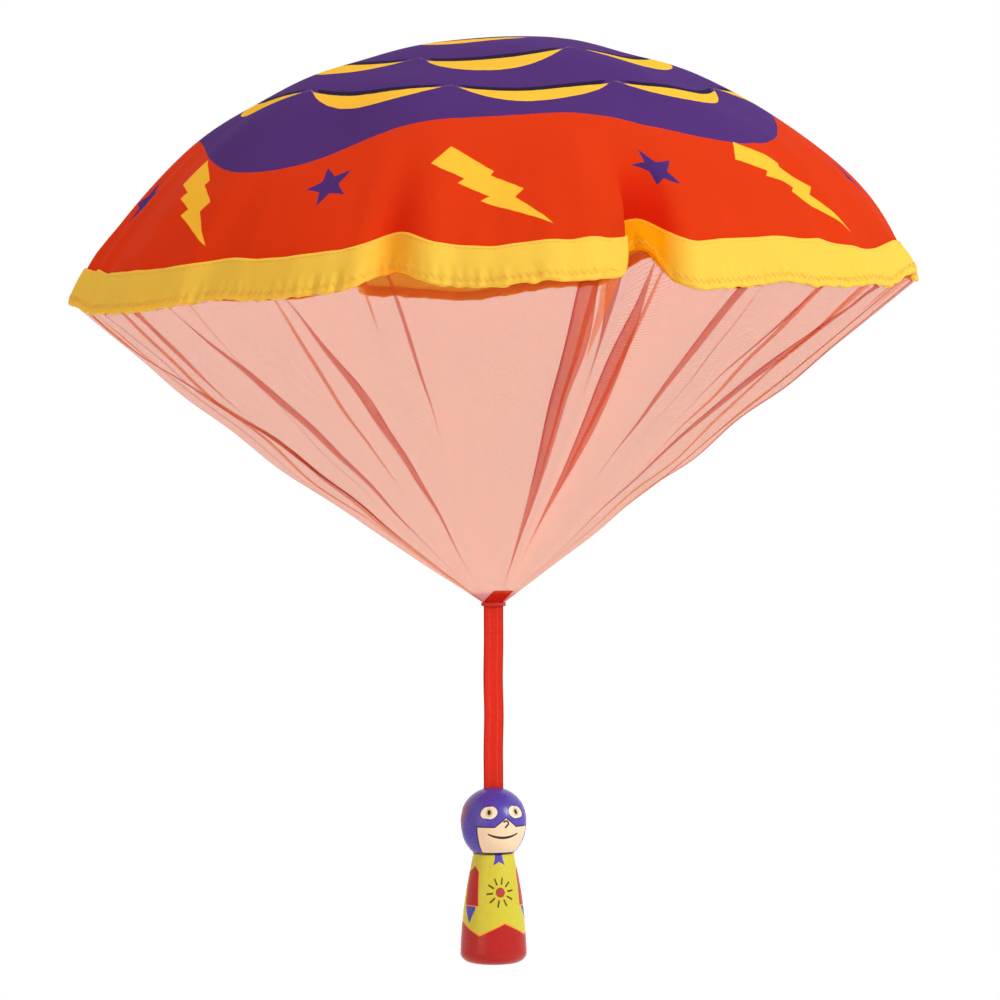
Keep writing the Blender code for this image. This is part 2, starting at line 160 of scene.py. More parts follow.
# Each pleat of the net: its place in a turn from +X, its drift on the way to the tip, its widest doubled
# strip in turns, where it starts, is widest and ends on that way, its side, and how far it stands out, as
# a share.
NET_PLEATS = (
    (0, 0, 0.004, -0.3, 0.1, 0.9, 1, 0),
    (0.0528, -0.01, 0.003, -0.3, 0.3, 1.1, 1, 0.15),
    (0.095, 0, 0.003, -0.3, 0.1, 0.7, -1, 0),
    (0.129, 0, 0.0024, -0.3, 0.2, 0.8, 1, 0.1),
    (0.173, 0, 0.0024, -0.2, 0.4, 0.9, -1, 0.1),
    (0.2064, 0, 0.004, -0.3, 0.1, 1, 1, 0),
    (0.346, 0, 0.0022, -0.2, 0.3, 0.8, 1, 0.1),
    (0.3967, 0.006, 0.0028, -0.2, 0.3, 1.1, -1, 0.15),
    (0.45, 0.01, 0.003, -0.3, 0.3, 1.1, 1, 0.15),
    (0.495, 0, 0.004, -0.3, 0.1, 0.8, -1, 0),
    (0.544, 0.066, 0.0095, -0.2, 0.45, 1.1, 1, 0.5),
    (0.572, 0.012, 0.003, -0.4, 0, 0.5, 1, 0),
    (0.596, 0, 0.0026, -0.4, 0, 0.4, -1, 0),
    (0.621, 0.022, 0.0068, -0.2, 0.45, 1.1, 1, 0.6),
    (0.675, 0.018, 0.0066, -0.12, 0.38, 1.1, 1, 0.8),
    (0.7115, 0.003, 0.0018, -0.2, 0.22, 0.55, 1, 0.1),
    (0.7832, 0.002, 0.013, -0.6, 0.4, 1.15, -1, 1),
    (0.8, 0.006, 0.0036, -0.4, 0, 0.45, -1, 0),
    (0.8105, 0.001, 0.0062, -0.08, 0.36, 0.95, -1, 0.6),
    (0.8435, -0.008, 0.007, -0.4, 0.1, 0.7, -1, 0.3),
    (0.882, -0.016, 0.003, -0.4, 0.1, 0.5, -1, 0),
    (0.919, -0.036, 0.0105, -0.5, 0.3, 1.1, -1, 0.5),
    (0.96, -0.015, 0.005, -0.3, 0.2, 0.9, -1, 0.2),
)
PLEAT_DRIFT_SHARE = 0.75
NET_LAYER = 0.0011
NET_SEAM = 0.0065

# How finely the cloth is made.
CANOPY_COLUMNS = 1080
CANOPY_ROWS = 84
BAND_COLUMNS = 2400
NET_ROWS = 70
NET_COLUMNS_PER_TURN = 620
PLEAT_COLUMNS = (1.6, 1.35, 1.2, 1.1, 1.0, 0.9, 0.8, 0.6, 0.3)

# Places that follow from the sizes.
HEM_ANGLE = CANOPY_ARC / DOME_RADIUS
HEM_RADIUS = DOME_RADIUS * math.sin(HEM_ANGLE)
HEM_LENGTH = math.tau * HEM_RADIUS
DOME_CENTRE_Z = -DOME_RADIUS - CLOTH_THICKNESS / 2
HEM_Z = DOME_CENTRE_Z + DOME_RADIUS * math.cos(HEM_ANGLE)
COLLAR_Z = HEM_Z - NET_DROP
BAND_OFFSET = CLOTH_THICKNESS / 2 + SEAM_GAP + BAND_THICKNESS / 2
NET_OFFSET = BAND_OFFSET + BAND_THICKNESS / 2 + SEAM_GAP + NET_THICKNESS / 2
BAND_FOLD_ARC = CANOPY_ARC + SEAM_GAP + BAND_THICKNESS / 2
BAND_TOP_ARC = CANOPY_ARC - BAND_HEIGHT
NET_FLAT_RADIUS = 0.2665
HEAD_UPPER_HEIGHT = 0.0170
HEAD_LOWER_HEIGHT = 0.0197
RIBBON_WIDTH = 0.0098
RIBBON_PLY = 0.0006
SWAY_Z = COLLAR_Z - 0.003
STRAP_TOP_Z = SWAY_Z + 0.005 + SEAM_GAP
STRAP_BOTTOM_Z = -0.3833
SLOT_GAP = 0.0004
SLOT_DEPTH = 0.008
STITCH_STEPS = 8
THREAD_STEPS = 48
TURNED_STEPS = 144

# Colours as linear light.
RED = (0.72, 0.050, 0.006)
PURPLE = (0.092, 0.034, 0.215)
YELLOW = (0.97, 0.61, 0.055)
DARK_INK = (0.020, 0.012, 0.045)
BAND_YELLOW = (1.00, 0.77, 0.100)
NET_RED = (1.00, 0.31, 0.060)
# The net's red in painted shade, for its creases.
NET_PAINTED_SHADE_RED = (0.74, 0.020, 0.010)
RIBBON_RED = (0.70, 0.024, 0.010)
THREAD_RED = (0.62, 0.022, 0.010)
THREAD_YELLOW = (0.97, 0.60, 0.06)
HOOD_PURPLE = (0.085, 0.056, 0.440)
SKIN = (0.92, 0.71, 0.50)
PAINT_YELLOW = (0.63, 0.58, 0.036)
PAINT_RED = (0.45, 0.006, 0.002)
PAINT_ORANGE = (0.86, 0.36, 0.04)
PAINT_BROWN = (0.030, 0.016, 0.008)
WOOD = (0.62, 0.43, 0.25)

# The stage, with each lamp's name, place, size, power and colour.
FLOOR_Z = -0.9
LAMP_TARGET = Vector((0.0, 0.0, -0.2))
LAMPS = (
    ("key", (1.9, -1.3, 1.1), (0.8, 1.0), 46.0, (1.0, 0.99, 0.97)),
    ("fill", (-1.8, -2.0, 0.2), (1.4, 1.8), 16.0, (1.0, 0.62, 0.36)),
    ("top", (-0.3, 0.5, 2.0), (1.6, 1.2), 16.0, (1.0, 1.0, 1.0)),
    ("back", (0.0, 2.0, -1.0), (2.4, 1.4), 45.0, (1.0, 0.96, 0.93)),
    ("bounce", (0.3, -1.4, -2.2), (2.2, 1.4), 66.0, (1.0, 0.93, 0.88)),
)


def smooth_step(value):
    value = np.clip(value, 0.0, 1.0)
    return value * value * (3.0 - 2.0 * value)


def bell(value):
    """1 at zero, falling smoothly to 0 at 1 and -1."""
    return 0.5 + 0.5 * np.cos(np.pi * np.minimum(1.0, np.abs(value)))


def turn_between(turn, centre):
    """The signed way from centre to turn, in turns."""
    return (turn - centre + 0.5) % 1.0 - 0.5


def waves(across, along, height, length, seed, count=24):
    """Smooth undulation from plane waves, mostly within its height and about one length long."""
    draw = np.random.default_rng(seed)
    total = 0.0
    for _ in range(count):
        heading, phase = draw.uniform(0.0, math.tau, 2)
        size = length * draw.uniform(0.7, 1.5)
        way = across * math.cos(heading) + along * math.sin(heading)
        total = total + np.sin(math.tau * way / size + phase)
    return height * total / math.sqrt(count)


def ripples(turn, height, length, seed, count=9):
    """Undulation round the hem with whole waves in the turn, each about one length long."""
    draw = np.random.default_rng(seed)
    total = 0.0
    for _ in range(count):
        number = round(HEM_LENGTH / (length * draw.uniform(0.65, 1.6)))
        total = total + np.sin(math.tau * (turn * number + draw.uniform(0.0, 1.0)))
    return height * total / math.sqrt(count)


def at_turn(turn, centre, half_turn):
    """1 at a place in the turn, falling smoothly to 0 at half_turn to each side."""
    return bell(turn_between(turn, centre) / half_turn)


def near_edge(arc, reach):
    """1 at the edge of the hem, falling smoothly to 0 at a reach above it."""
    return smooth_step(1.0 - (CANOPY_ARC - arc) / reach)


def unit(vectors):
    return vectors / np.linalg.norm(vectors, axis=-1, keepdims=True)


def polar(radius, turn, *height):
    """The points at a radius and a place in the turn."""
    azimuth = math.tau * turn
    points = (radius * np.cos(azimuth), radius * np.sin(azimuth), *height)
    return np.stack(np.broadcast_arrays(*points), axis=-1)


def fold_away(arc, turn, centre, width_share, lean):
    """The way from the middle of a hem fold, as a share of its half width."""
    height = np.clip((CANOPY_ARC - arc) / BAND_HEIGHT, 0.0, 2.0)
    return turn_between(turn, centre + lean * height) / (FOLD_WIDTH / 2 / HEM_LENGTH * width_share)


def hem_fold(arc, turn):
    """How far the folds push the hem in, lift it, and slide it along its length."""
    depth = np.zeros_like(turn)
    lift = np.zeros_like(turn)
    slide = np.zeros_like(turn)
    for centre, depth_share, width_share, lift_share, steepness, tuck_share, lean in HEM_FOLDS:
        away = fold_away(arc, turn, centre, width_share, lean)
        away = np.where(away < 0.0, away * (1.0 + steepness), away)
        depth = np.maximum(depth, FOLD_DEPTH * depth_share * bell(away))
        lift = np.maximum(lift, FOLD_LIFT * lift_share * bell(away))
        flank = np.clip(2.0 * away + 1.0, -1.0, 1.0)
        slide -= TUCK * tuck_share * 3.5 * flank * (1.0 - flank * flank) ** 2
    return depth, lift, slide


def painted_fold_shade(arc, turn):
    """How deep a place lies in a fold, from 0 to 1, on the side that the fold shades: the share of painted
    shade in the cloth's colour there.
    """
    shade = 0.0
    for centre, depth_share, width_share, *_, lean in HEM_FOLDS:
        away = fold_away(arc, turn, centre, width_share, lean)
        shade = np.maximum(shade, (depth_share - 0.5) * 1.5 * bell((away - 0.12) / 0.85))
    reach = smooth_step(1.0 - (BAND_TOP_ARC - arc) / 0.060)
    return np.clip(shade, 0.0, 1.0) * reach


def canopy_surface(arc, turn, tucked=True):
    """Points on the cloth, at distances along it from the crown and places in the turn."""
    arc, turn = np.broadcast_arrays(np.asarray(arc, float), np.asarray(turn, float))
    share = arc / CANOPY_ARC
    depth, lift, slide = hem_fold(arc, turn)
    near_hem = smooth_step(1.0 - (BAND_TOP_ARC - arc) / FOLD_REACH)
    at_hem = near_edge(arc, TUCK_REACH)
    flat_x, flat_y = np.moveaxis(polar(arc, turn), -1, 0)
    place = turn + (slide * at_hem / HEM_LENGTH if tucked else 0.0)
    outward = polar(1.0, place, 0.0)
    angle = arc / DOME_RADIUS
    normal = outward * np.sin(angle)[..., None]
    normal[..., 2] = np.cos(angle)
    full = np.maximum(0.0, outward[..., 0]) ** 2 * bell((share - FULL_ARC_SHARE) / FULL_SPREAD_SHARE)
    push = SIDE_FULLNESS * full - depth * near_hem

    # The air leaves one shoulder flatter, and the net draws the hem in on that side.
    shoulder = at_turn(turn, SHOULDER_TURN, SHOULDER_HALF_TURN)
    push -= SHOULDER_DIP * shoulder * bell((arc - SHOULDER_ARC) / SHOULDER_REACH)
    for height, middle, half_width in CROWN_RIDGES:
        push += height * bell((flat_x - middle) / half_width)
    push -= HEM_PULL * shoulder * near_edge(arc, HEM_PULL_REACH)
    turned_in = at_turn(turn, HEM_TURN_IN_TURN, HEM_TURN_IN_HALF_TURN)
    push -= HEM_TURN_IN * turned_in * near_edge(arc, HEM_TURN_IN_REACH)
    push += waves(flat_x, flat_y, *CLOTH_WAVES) * smooth_step(share * 2.5)
    push += ripples(turn, *SIDE_RIPPLES) * smooth_step((share - 0.45) / 0.5)
    push += ripples(turn, *HEM_RIPPLES) * at_hem
    points = normal * (DOME_RADIUS + push)[..., None]
    points[..., 2] += DOME_CENTRE_Z + lift * near_hem
    points[..., 2] += HEM_TILT * outward[..., 0] * smooth_step(share)
    for rises, reach in ((HEM_RISES, near_hem), (EDGE_RISES, near_edge(arc, EDGE_REACH))):
        for centre, rise, half_turn in rises:
            points[..., 2] += rise * at_turn(turn, centre, half_turn) * reach
    points[..., 2] += ripples(turn, *LIFT_RIPPLES) * near_hem
    return points


def hem_layer(arc, turn, offset, tucked=True):
    """Points at a distance from the cloth, outwards."""
    arc_step = CANOPY_ARC / 1000
    turn_step = 0.0003
    along = canopy_surface(arc + arc_step, turn, tucked) - canopy_surface(arc - arc_step, turn, tucked)
    around = canopy_surface(arc, turn + turn_step, tucked) - canopy_surface(arc, turn - turn_step, tucked)
    normal = unit(np.cross(along, around))
    return canopy_surface(arc, turn, tucked) + normal * np.asarray(offset)[..., None]


def new_object(name, data):
    made = bpy.data.objects.new(name, data)
    bpy.context.scene.collection.objects.link(made)
    return made


def flat_grid(across, along):
    """The flat places of a grid from those of its columns and its rows."""
    return np.stack(np.broadcast_arrays(across, along[:, None]), axis=-1)


def grid_piece(name, grids, material, crown=None, numbers=None):
    """A piece of quads over closed grids of points, with a column more of UV places than of points."""
    verts, faces, uvs = [], [], []
    for points, flat in grids:
        rows, columns = points.shape[:2]
        index = len(verts) + np.arange(rows * columns).reshape(rows, columns)
        after = np.roll(index, -1, axis=1)
        faces += np.stack([index[:-1], index[1:], after[1:], after[:-1]], axis=-1).reshape(-1, 4).tolist()
        corners = [flat[:-1, :-1], flat[1:, :-1], flat[1:, 1:], flat[:-1, 1:]]
        uvs.append(np.stack(corners, axis=2).reshape(-1, 2))
        verts += points.reshape(-1, 3).tolist()
    if crown is not None:
        flat = grids[0][1]
        columns = grids[0][0].shape[1]
        faces += [[len(verts), column, (column + 1) % columns] for column in range(columns)]
        verts.append(crown)
        fan = np.zeros((columns, 3, 2))
        fan[:, 1] = flat[0, :-1]
        fan[:, 2] = flat[0, 1:]
        uvs.append(fan.reshape(-1, 2))
    mesh = bpy.data.meshes.new(name)
    mesh.from_pydata(verts, [], faces)
    mesh.uv_layers.new(name="flat").data.foreach_set("uv", np.concatenate(uvs).astype(np.float32).ravel())
    for attribute, values in (numbers or {}).items():
        made = mesh.attributes.new(attribute, "FLOAT", "POINT")
        made.data.foreach_set("value", values.astype(np.float32).ravel())
    mesh.shade_smooth()
    mesh.materials.append(material)
    return new_object(name, mesh)


def tube_piece(name, path, normals, radius, material, sides=6, closed=True):
    """A thread along a path of points, round in section, with its sides set from the surface's normals."""
    ahead = np.roll(path, -1, axis=0) - np.roll(path, 1, axis=0)
    if not closed:
        ahead[0] = path[1] - path[0]
        ahead[-1] = path[-1] - path[-2]
    tangent = unit(ahead)
    aside = unit(np.cross(tangent, normals))
    up = np.cross(aside, tangent)
    angle = math.tau * np.arange(sides) / sides
    ring = aside[:, None] * np.cos(angle)[None, :, None] + up[:, None] * np.sin(angle)[None, :, None]
    points = path[:, None] + ring * radius
    length = running_length(path)
    if closed:
        points = np.concatenate([points, points[:1]])
        length = np.append(length, length[-1] + np.linalg.norm(path[0] - path[-1]))
    girth = np.linspace(0.0, math.tau * radius, sides + 1)
    flat = flat_grid(girth, length)[..., ::-1]
    return grid_piece(name, [(points, flat)], material)


def running_length(path):
    """The length along a path, at each of its points."""
    return np.concatenate([[0.0], np.cumsum(np.linalg.norm(np.diff(path, axis=0), axis=1))])


def turned(across, along, angle):
    """A place's coordinates on axes that are turned by an angle."""
    cos, sin = math.cos(angle), math.sin(angle)
    return across * cos + along * sin, along * cos - across * sin


class Value:
    """A number that varies over a surface: the output of a node, with arithmetic."""

    def __init__(self, graph, socket):
        self.graph = graph
        self.socket = socket

    def __neg__(self):
        return self * -1.0


def value_method(operation, swapped):
    """A method that puts a value, and any other, through a math node."""

    def method(self, *others):
        values = (*others, self) if swapped else (self, *others)
        return self.graph.math(operation, *values)

    return method


for method_name, operation, swapped in (
    ("__add__", "ADD", False),
    ("__radd__", "ADD", True),
    ("__sub__", "SUBTRACT", False),
    ("__rsub__", "SUBTRACT", True),
    ("__mul__", "MULTIPLY", False),
    ("__rmul__", "MULTIPLY", True),
    ("__truediv__", "DIVIDE", False),
    ("__pow__", "POWER", False),
    ("size", "ABSOLUTE", False),
    ("sin", "SINE", False),
    ("cos", "COSINE", False),
    ("root", "SQRT", False),
    ("least", "MINIMUM", False),
    ("most", "MAXIMUM", False),
):
    setattr(Value, method_name, value_method(operation, swapped))


class Graph:
    """The nodes of one material or world, made by short calls."""

    def __init__(self, name, owners=bpy.data.materials, colour=None, soft=None):
        self.colour = colour
        self.soft = soft
        self.owner = owners.new(name)
        self.owner.use_nodes = True
        self.tree = self.owner.node_tree
        self.tree.nodes.clear()

    def node(self, kind, **settings):
        made = self.tree.nodes.new("ShaderNode" + kind)
        for key, value in settings.items():
            setattr(made, key, value)
        return made

    def put(self, socket, value):
        if isinstance(value, Value):
            value = value.socket
        if isinstance(value, bpy.types.NodeSocket):
            self.tree.links.new(value, socket)
        elif isinstance(value, tuple) and socket.type == "RGBA":
            socket.default_value = (*value, 1.0)
        else:
            socket.default_value = value

    def fill(self, made, **inputs):
        """Gives a node its inputs and returns its first output."""
        for key, value in inputs.items():
            self.put(made.inputs[key.replace("_", " ")], value)
        return made.outputs[0]

    def filled(self, kind, **inputs):
        return self.fill(self.node(kind), **inputs)

    def math(self, operation, *values):
        made = self.node("Math", operation=operation)
        for socket, value in zip(made.inputs, values):
            self.put(socket, value)
        return Value(self, made.outputs[0])

    def mix(self, share, first, second):
        """The first colour where share is 0, the second where it is 1."""
        made = self.node("Mix", data_type="RGBA")
        for index, value in ((0, share), (6, first), (7, second)):
            self.put(made.inputs[index], value)
        return made.outputs[2]

    def lay(self, share, colour):
        """Lays a colour over what is painted so far, where share is 1."""
        self.colour = self.mix(share, self.colour, colour)

    def paint(self, distance, colour, soft=None):
        """Lays a colour where the distance is below zero, with a soft edge."""
        self.lay(self.inside(distance, soft or self.soft), colour)

    def tint(self, value):
        """The painted colour made lighter or darker."""
        return self.filled("HueSaturation", Value=value, Color=self.colour)

    def sector(self, angle, width):
        """How far an angle is from the middle of the sector that it lies in."""
        return self.math("MODULO", angle, width) - width / 2

    def distance(self, across, along):
        return (across * across + along * along).root()

    def surface(self, **look):
        return self.filled("BsdfPrincipled", **look)

    def split(self, socket):
        parts = self.node("SeparateXYZ")
        self.put(parts.inputs[0], socket)
        return [Value(self, output) for output in parts.outputs]

    def flat(self):
        """The cloth's own coordinates, in metres."""
        socket = self.node("UVMap", uv_map="flat").outputs[0]
        across, along, _ = self.split(socket)
        return socket, across, along

    def place(self):
        """The place in the piece's own frame, in metres."""
        socket = self.node("TexCoord").outputs["Object"]
        return socket, *self.split(socket)

    def number(self, attribute):
        return Value(self, self.node("Attribute", attribute_name=attribute).outputs["Fac"])

    def noise(self, vector, size, detail=2.0, roughness=0.5):
        """Noise about 0.5, in spots of about one size."""
        look = dict(Vector=vector, Scale=1.0 / size, Detail=detail, Roughness=roughness)
        return Value(self, self.filled("TexNoise", **look))

    def inside(self, distance, soft):
        """1 where the distance is below zero, 0 where it is above, over a soft edge."""
        made = self.node("MapRange", interpolation_type="SMOOTHSTEP")
        return Value(self, self.fill(made, Value=distance, From_Min=soft / 2, From_Max=-soft / 2))

    def weave(self, across, along, pitch):
        """The height of a plain weave, from -1 to 1."""
        turn = math.pi / pitch
        return (across * turn).sin() * (along * turn).sin()

    def bump(self, height):
        """A normal from a height in metres."""
        return self.filled("Bump", Strength=1.0, Distance=1.0, Height=height)

    def blend(self, share, first, second):
        made = self.node("MixShader")
        for socket, value in zip(made.inputs, (share, first, second)):
            self.put(socket, value)
        return made.outputs[0]

    def finish(self, surface, output="OutputMaterial"):
        self.put(self.node(output).inputs["Surface"], surface)
        return self.owner


def cloth_with_painted_fold_shade(graph, vector, across, along, deepening, roughness):
    """A thin woven cloth: its weave and creases as bump, with some light passing through it, and painted
    shade in its folds.
    """
    weave = graph.weave(across, along, 0.00055)
    blotch = graph.noise(vector, 0.035, 3.0)
    crease = graph.noise(vector, 0.011, 4.0, 0.6)
    shade = graph.number("shade")
    tint = graph.tint(blotch * 0.12 + weave * 0.03 + 0.94)

    # Light that has gone through the cloth is deeper in colour. In the folds' recesses the shade number
    # paints the same deeper, darker colour into the base colour as painted shade.
    deep = graph.filled("Gamma", Color=tint, Gamma=deepening)
    normal = graph.bump(weave * 0.000018 + crease * 0.00022)
    surface = graph.surface(
        Base_Color=graph.mix(shade, tint, deep),
        Roughness=blotch * 0.14 + (roughness - 0.07),
        Normal=normal,
        Specular_IOR_Level=0.04,
    )
    behind = graph.filled("BsdfTranslucent", Color=deep, Normal=normal)
    return graph.finish(graph.blend(0.28, surface, behind))


def convex(across, along, corners):
    """The distance outside a convex shape whose corners run counter-clockwise."""
    far = None
    for (x0, y0), (x1, y1) in zip(corners, corners[1:] + corners[:1]):
        length = math.hypot(x1 - x0, y1 - y0)
        out_x, out_y = (y1 - y0) / length, (x0 - x1) / length
        side = across * out_x + along * out_y - (x0 * out_x + y0 * out_y)
        far = side if far is None else far.most(side)
    return far


def print_material():
    """The printed cloth: a rounded purple square with yellow crescents, on red with stars and bolts."""
    graph = Graph("printed_cloth", colour=RED, soft=0.0005)
    vector, x, y = graph.flat()
    wobble = graph.noise(vector, 0.006, 1.0) * 0.0008 - 0.0004
    radius = graph.distance(x, y)
    azimuth = graph.math("ARCTAN2", y, x)

    # The purple field is a rounded square, turned a little.
    power = 4.5
    right, up = turned(x + 0.0075, y, math.radians(5.0))
    square = ((right.size() ** power + up.size() ** power) ** (1.0 / power)) - 0.1505 + wobble
    graph.paint(square, PURPLE)

    # Rows of crescents follow the edge of the field, each with a dark line on its inner side.
    for number, shift, middle, thick, reach, bow in (
        (9, 0.35, 0.127, 0.0058, 0.90, 0.010),
        (6, 0.00, 0.085, 0.0074, 0.84, 0.013),
        (3, 0.90, 0.040, 0.0066, 0.80, 0.006),
    ):
        sector = math.tau / number
        way = graph.sector(azimuth + (2 * math.tau + shift), sector) / (sector / 2 * reach)
        taper = (1.0 - way * way).most(0.0)
        line = radius - middle - bow * (0.5 - way * way)
        body = line.size() - taper * thick + wobble
        dark = (line + thick * 0.55).size() - taper * (thick * 1.15) + wobble
        graph.paint(dark, DARK_INK)
        graph.paint(body, YELLOW)

    # Bolts and stars take turns round the red.
    pairs = 7
    sector = math.tau / pairs
    middle = 0.197
    around = azimuth + (2 * math.tau + math.pi / 2 + sector / 2)
    way = graph.sector(around, sector)
    across = radius * way.sin()
    along = middle - radius * way.cos()
    down, aside = turned(across, along, math.radians(-20.0))
    bolt = 1.0
    for corners in (
        ((-0.034, -0.0010), (-0.005, -0.0052), (-0.002, 0.0062), (-0.028, 0.0140)),
        ((-0.017, -0.0078), (0.013, -0.0110), (0.017, -0.0005), (-0.010, 0.0045)),
        ((-0.002, -0.0142), (0.040, -0.0165), (0.006, -0.0035)),
    ):
        bolt = convex(down, aside, corners).least(bolt)
    bolt = bolt + wobble
    graph.paint(bolt, YELLOW)
    way = graph.sector(around + sector / 2, sector)
    across = radius * way.sin()
    along = radius * way.cos() - middle
    arm = math.tau / 5
    point = graph.math("ARCTAN2", across, along) + (arm / 2 + 2 * math.tau + 0.2)
    point = graph.sector(point, arm).size()
    reach = graph.distance(across, along)
    tip, waist = 0.0130, 0.0056
    lean = math.atan2(waist * math.sin(arm / 2), tip - waist * math.cos(arm / 2))
    star = (reach * point.cos() - tip) * math.sin(lean) + reach * point.sin() * math.cos(lean) + wobble
    graph.paint(star, PURPLE)
    return cloth_with_painted_fold_shade(graph, vector, x, y, 1.5, 0.72)


def band_material():
    graph = Graph("band_cloth", colour=BAND_YELLOW)
    return cloth_with_painted_fold_shade(graph, *graph.flat(), 3.8, 0.70)


def net_material():
    """Knitted net: thin threads round open cells, closer together where the net is creased or doubled, and
    painted a darker red there as shade.
    """
    graph = Graph("net_cloth")
    vector, x, y = graph.flat()
    crease = graph.number("crease")
    pitch = 0.00115
    thread = 0.215
    bend = graph.noise(vector, 0.009, 2.0) * 0.0012 + graph.noise(vector, 0.0018, 1.0) * 0.0010
    slant = (x + y) * (math.sqrt(0.5) / pitch) + bend / pitch
    other = (x - y) * (math.sqrt(0.5) / pitch) - bend / pitch
    first = graph.math("PINGPONG", slant, 0.5)
    second = graph.math("PINGPONG", other, 0.5)
    half = crease * 0.08 + thread / 2
    gap = first.least(second) - half
    cover = graph.inside(gap, 0.03)
    # Painted shade: where the crease number is high, the threads turn a darker red.
    colour = graph.mix((crease * 3.6).least(1.0), NET_RED, NET_PAINTED_SHADE_RED)
    normal = graph.bump((first.least(second)).least(0.1) * -0.0008)
    surface = graph.surface(
        Base_Color=colour,
        Roughness=graph.noise(vector, 0.004) * 0.2 + 0.65,
        Normal=normal,
        Specular_IOR_Level=0.04,
    )
    behind = graph.filled("BsdfTranslucent", Color=colour)
    threads = graph.blend(0.60, surface, behind)
    clear = graph.filled("BsdfTransparent")
    full = cover * 0.28 + 0.295
    full = full + (1.0 - full) * (crease * crease * 0.9)
    return graph.finish(graph.blend(full, clear, threads))


def darker(colour, share):
    return tuple(part * share for part in colour)


def thread_material(name, colour):
    """Twisted thread, whose plies show as slanting ridges."""
    graph = Graph(name)
    vector, along, around = graph.flat()
    twist = (along * (math.tau / 0.0009) + around * 4500.0).sin()
    tint = graph.mix(twist * 0.20 + 0.20, colour, darker(colour, 0.6))
    surface = graph.surface(
        Base_Color=tint,
        Roughness=graph.noise(vector, 0.003) * 0.2 + 0.45,
        Normal=graph.bump(twist * 0.00003),
        Sheen_Weight=0.15,
    )
    return graph.finish(surface)


def ribbon_material():
    """Woven ribbon: fine cross ribs, two lighter lines, and tight darker selvedges."""
    graph = Graph("ribbon", colour=RIBBON_RED)
    vector, across, along = graph.flat()
    rib = (along * (math.tau / 0.00062)).sin()
    warp = (across * (math.tau / 0.00034)).sin()
    fleck = graph.noise(vector, 0.0022, 3.0)
    edge = graph.inside(0.0043 - across.size(), 0.0006)
    line = graph.inside((across.size() - 0.0020).size() - 0.00035, 0.0005)
    graph.lay(edge, darker(RIBBON_RED, 0.62))
    graph.lay(line * 0.18, (0.93, 0.13, 0.07))
    surface = graph.surface(
        Base_Color=graph.tint(fleck * 0.22 + rib * 0.035 + 0.89),
        Roughness=fleck * 0.2 + 0.38,
        Normal=graph.bump(rib * 0.000030 + warp * 0.000008 + fleck * 0.00012),
        Specular_IOR_Level=0.15,
    )
    return graph.finish(surface)


def paint_finish(graph, vector):
    """Glossy brushed enamel over turned wood: faint grain, brush marks and a clear coat."""
    turning = graph.noise(vector, 0.0035, 3.0)
    grain = graph.noise(vector, 0.0011, 2.0)
    surface = graph.surface(
        Base_Color=graph.tint(turning * 0.14 + 0.93),
        Roughness=grain * 0.14 + 0.22,
        Normal=graph.bump(turning * 0.00012 + grain * 0.000018),
        Specular_IOR_Level=0.30,
        Coat_Weight=0.12,
        Coat_Roughness=0.12,
    )
    return graph.finish(surface)


def ellipse(graph, across, along, centre, halves, tilt):
    """About the distance outside a tilted ellipse."""
    x, y = turned(across - centre[0], along - centre[1], tilt)
    return (graph.distance(x / halves[0], y / halves[1]) - 1.0) * min(halves)


def stroke(graph, across, along, start, end, half):
    """The distance outside a round-ended stroke."""
    way_x, way_y = end[0] - start[0], end[1] - start[1]
    length = way_x**2 + way_y**2
    share = (across - start[0]) * (way_x / length) + (along - start[1]) * (way_y / length)
    share = share.most(0.0).least(1.0)
    return graph.distance(across - start[0] - share * way_x, along - start[1] - share * way_y) - half


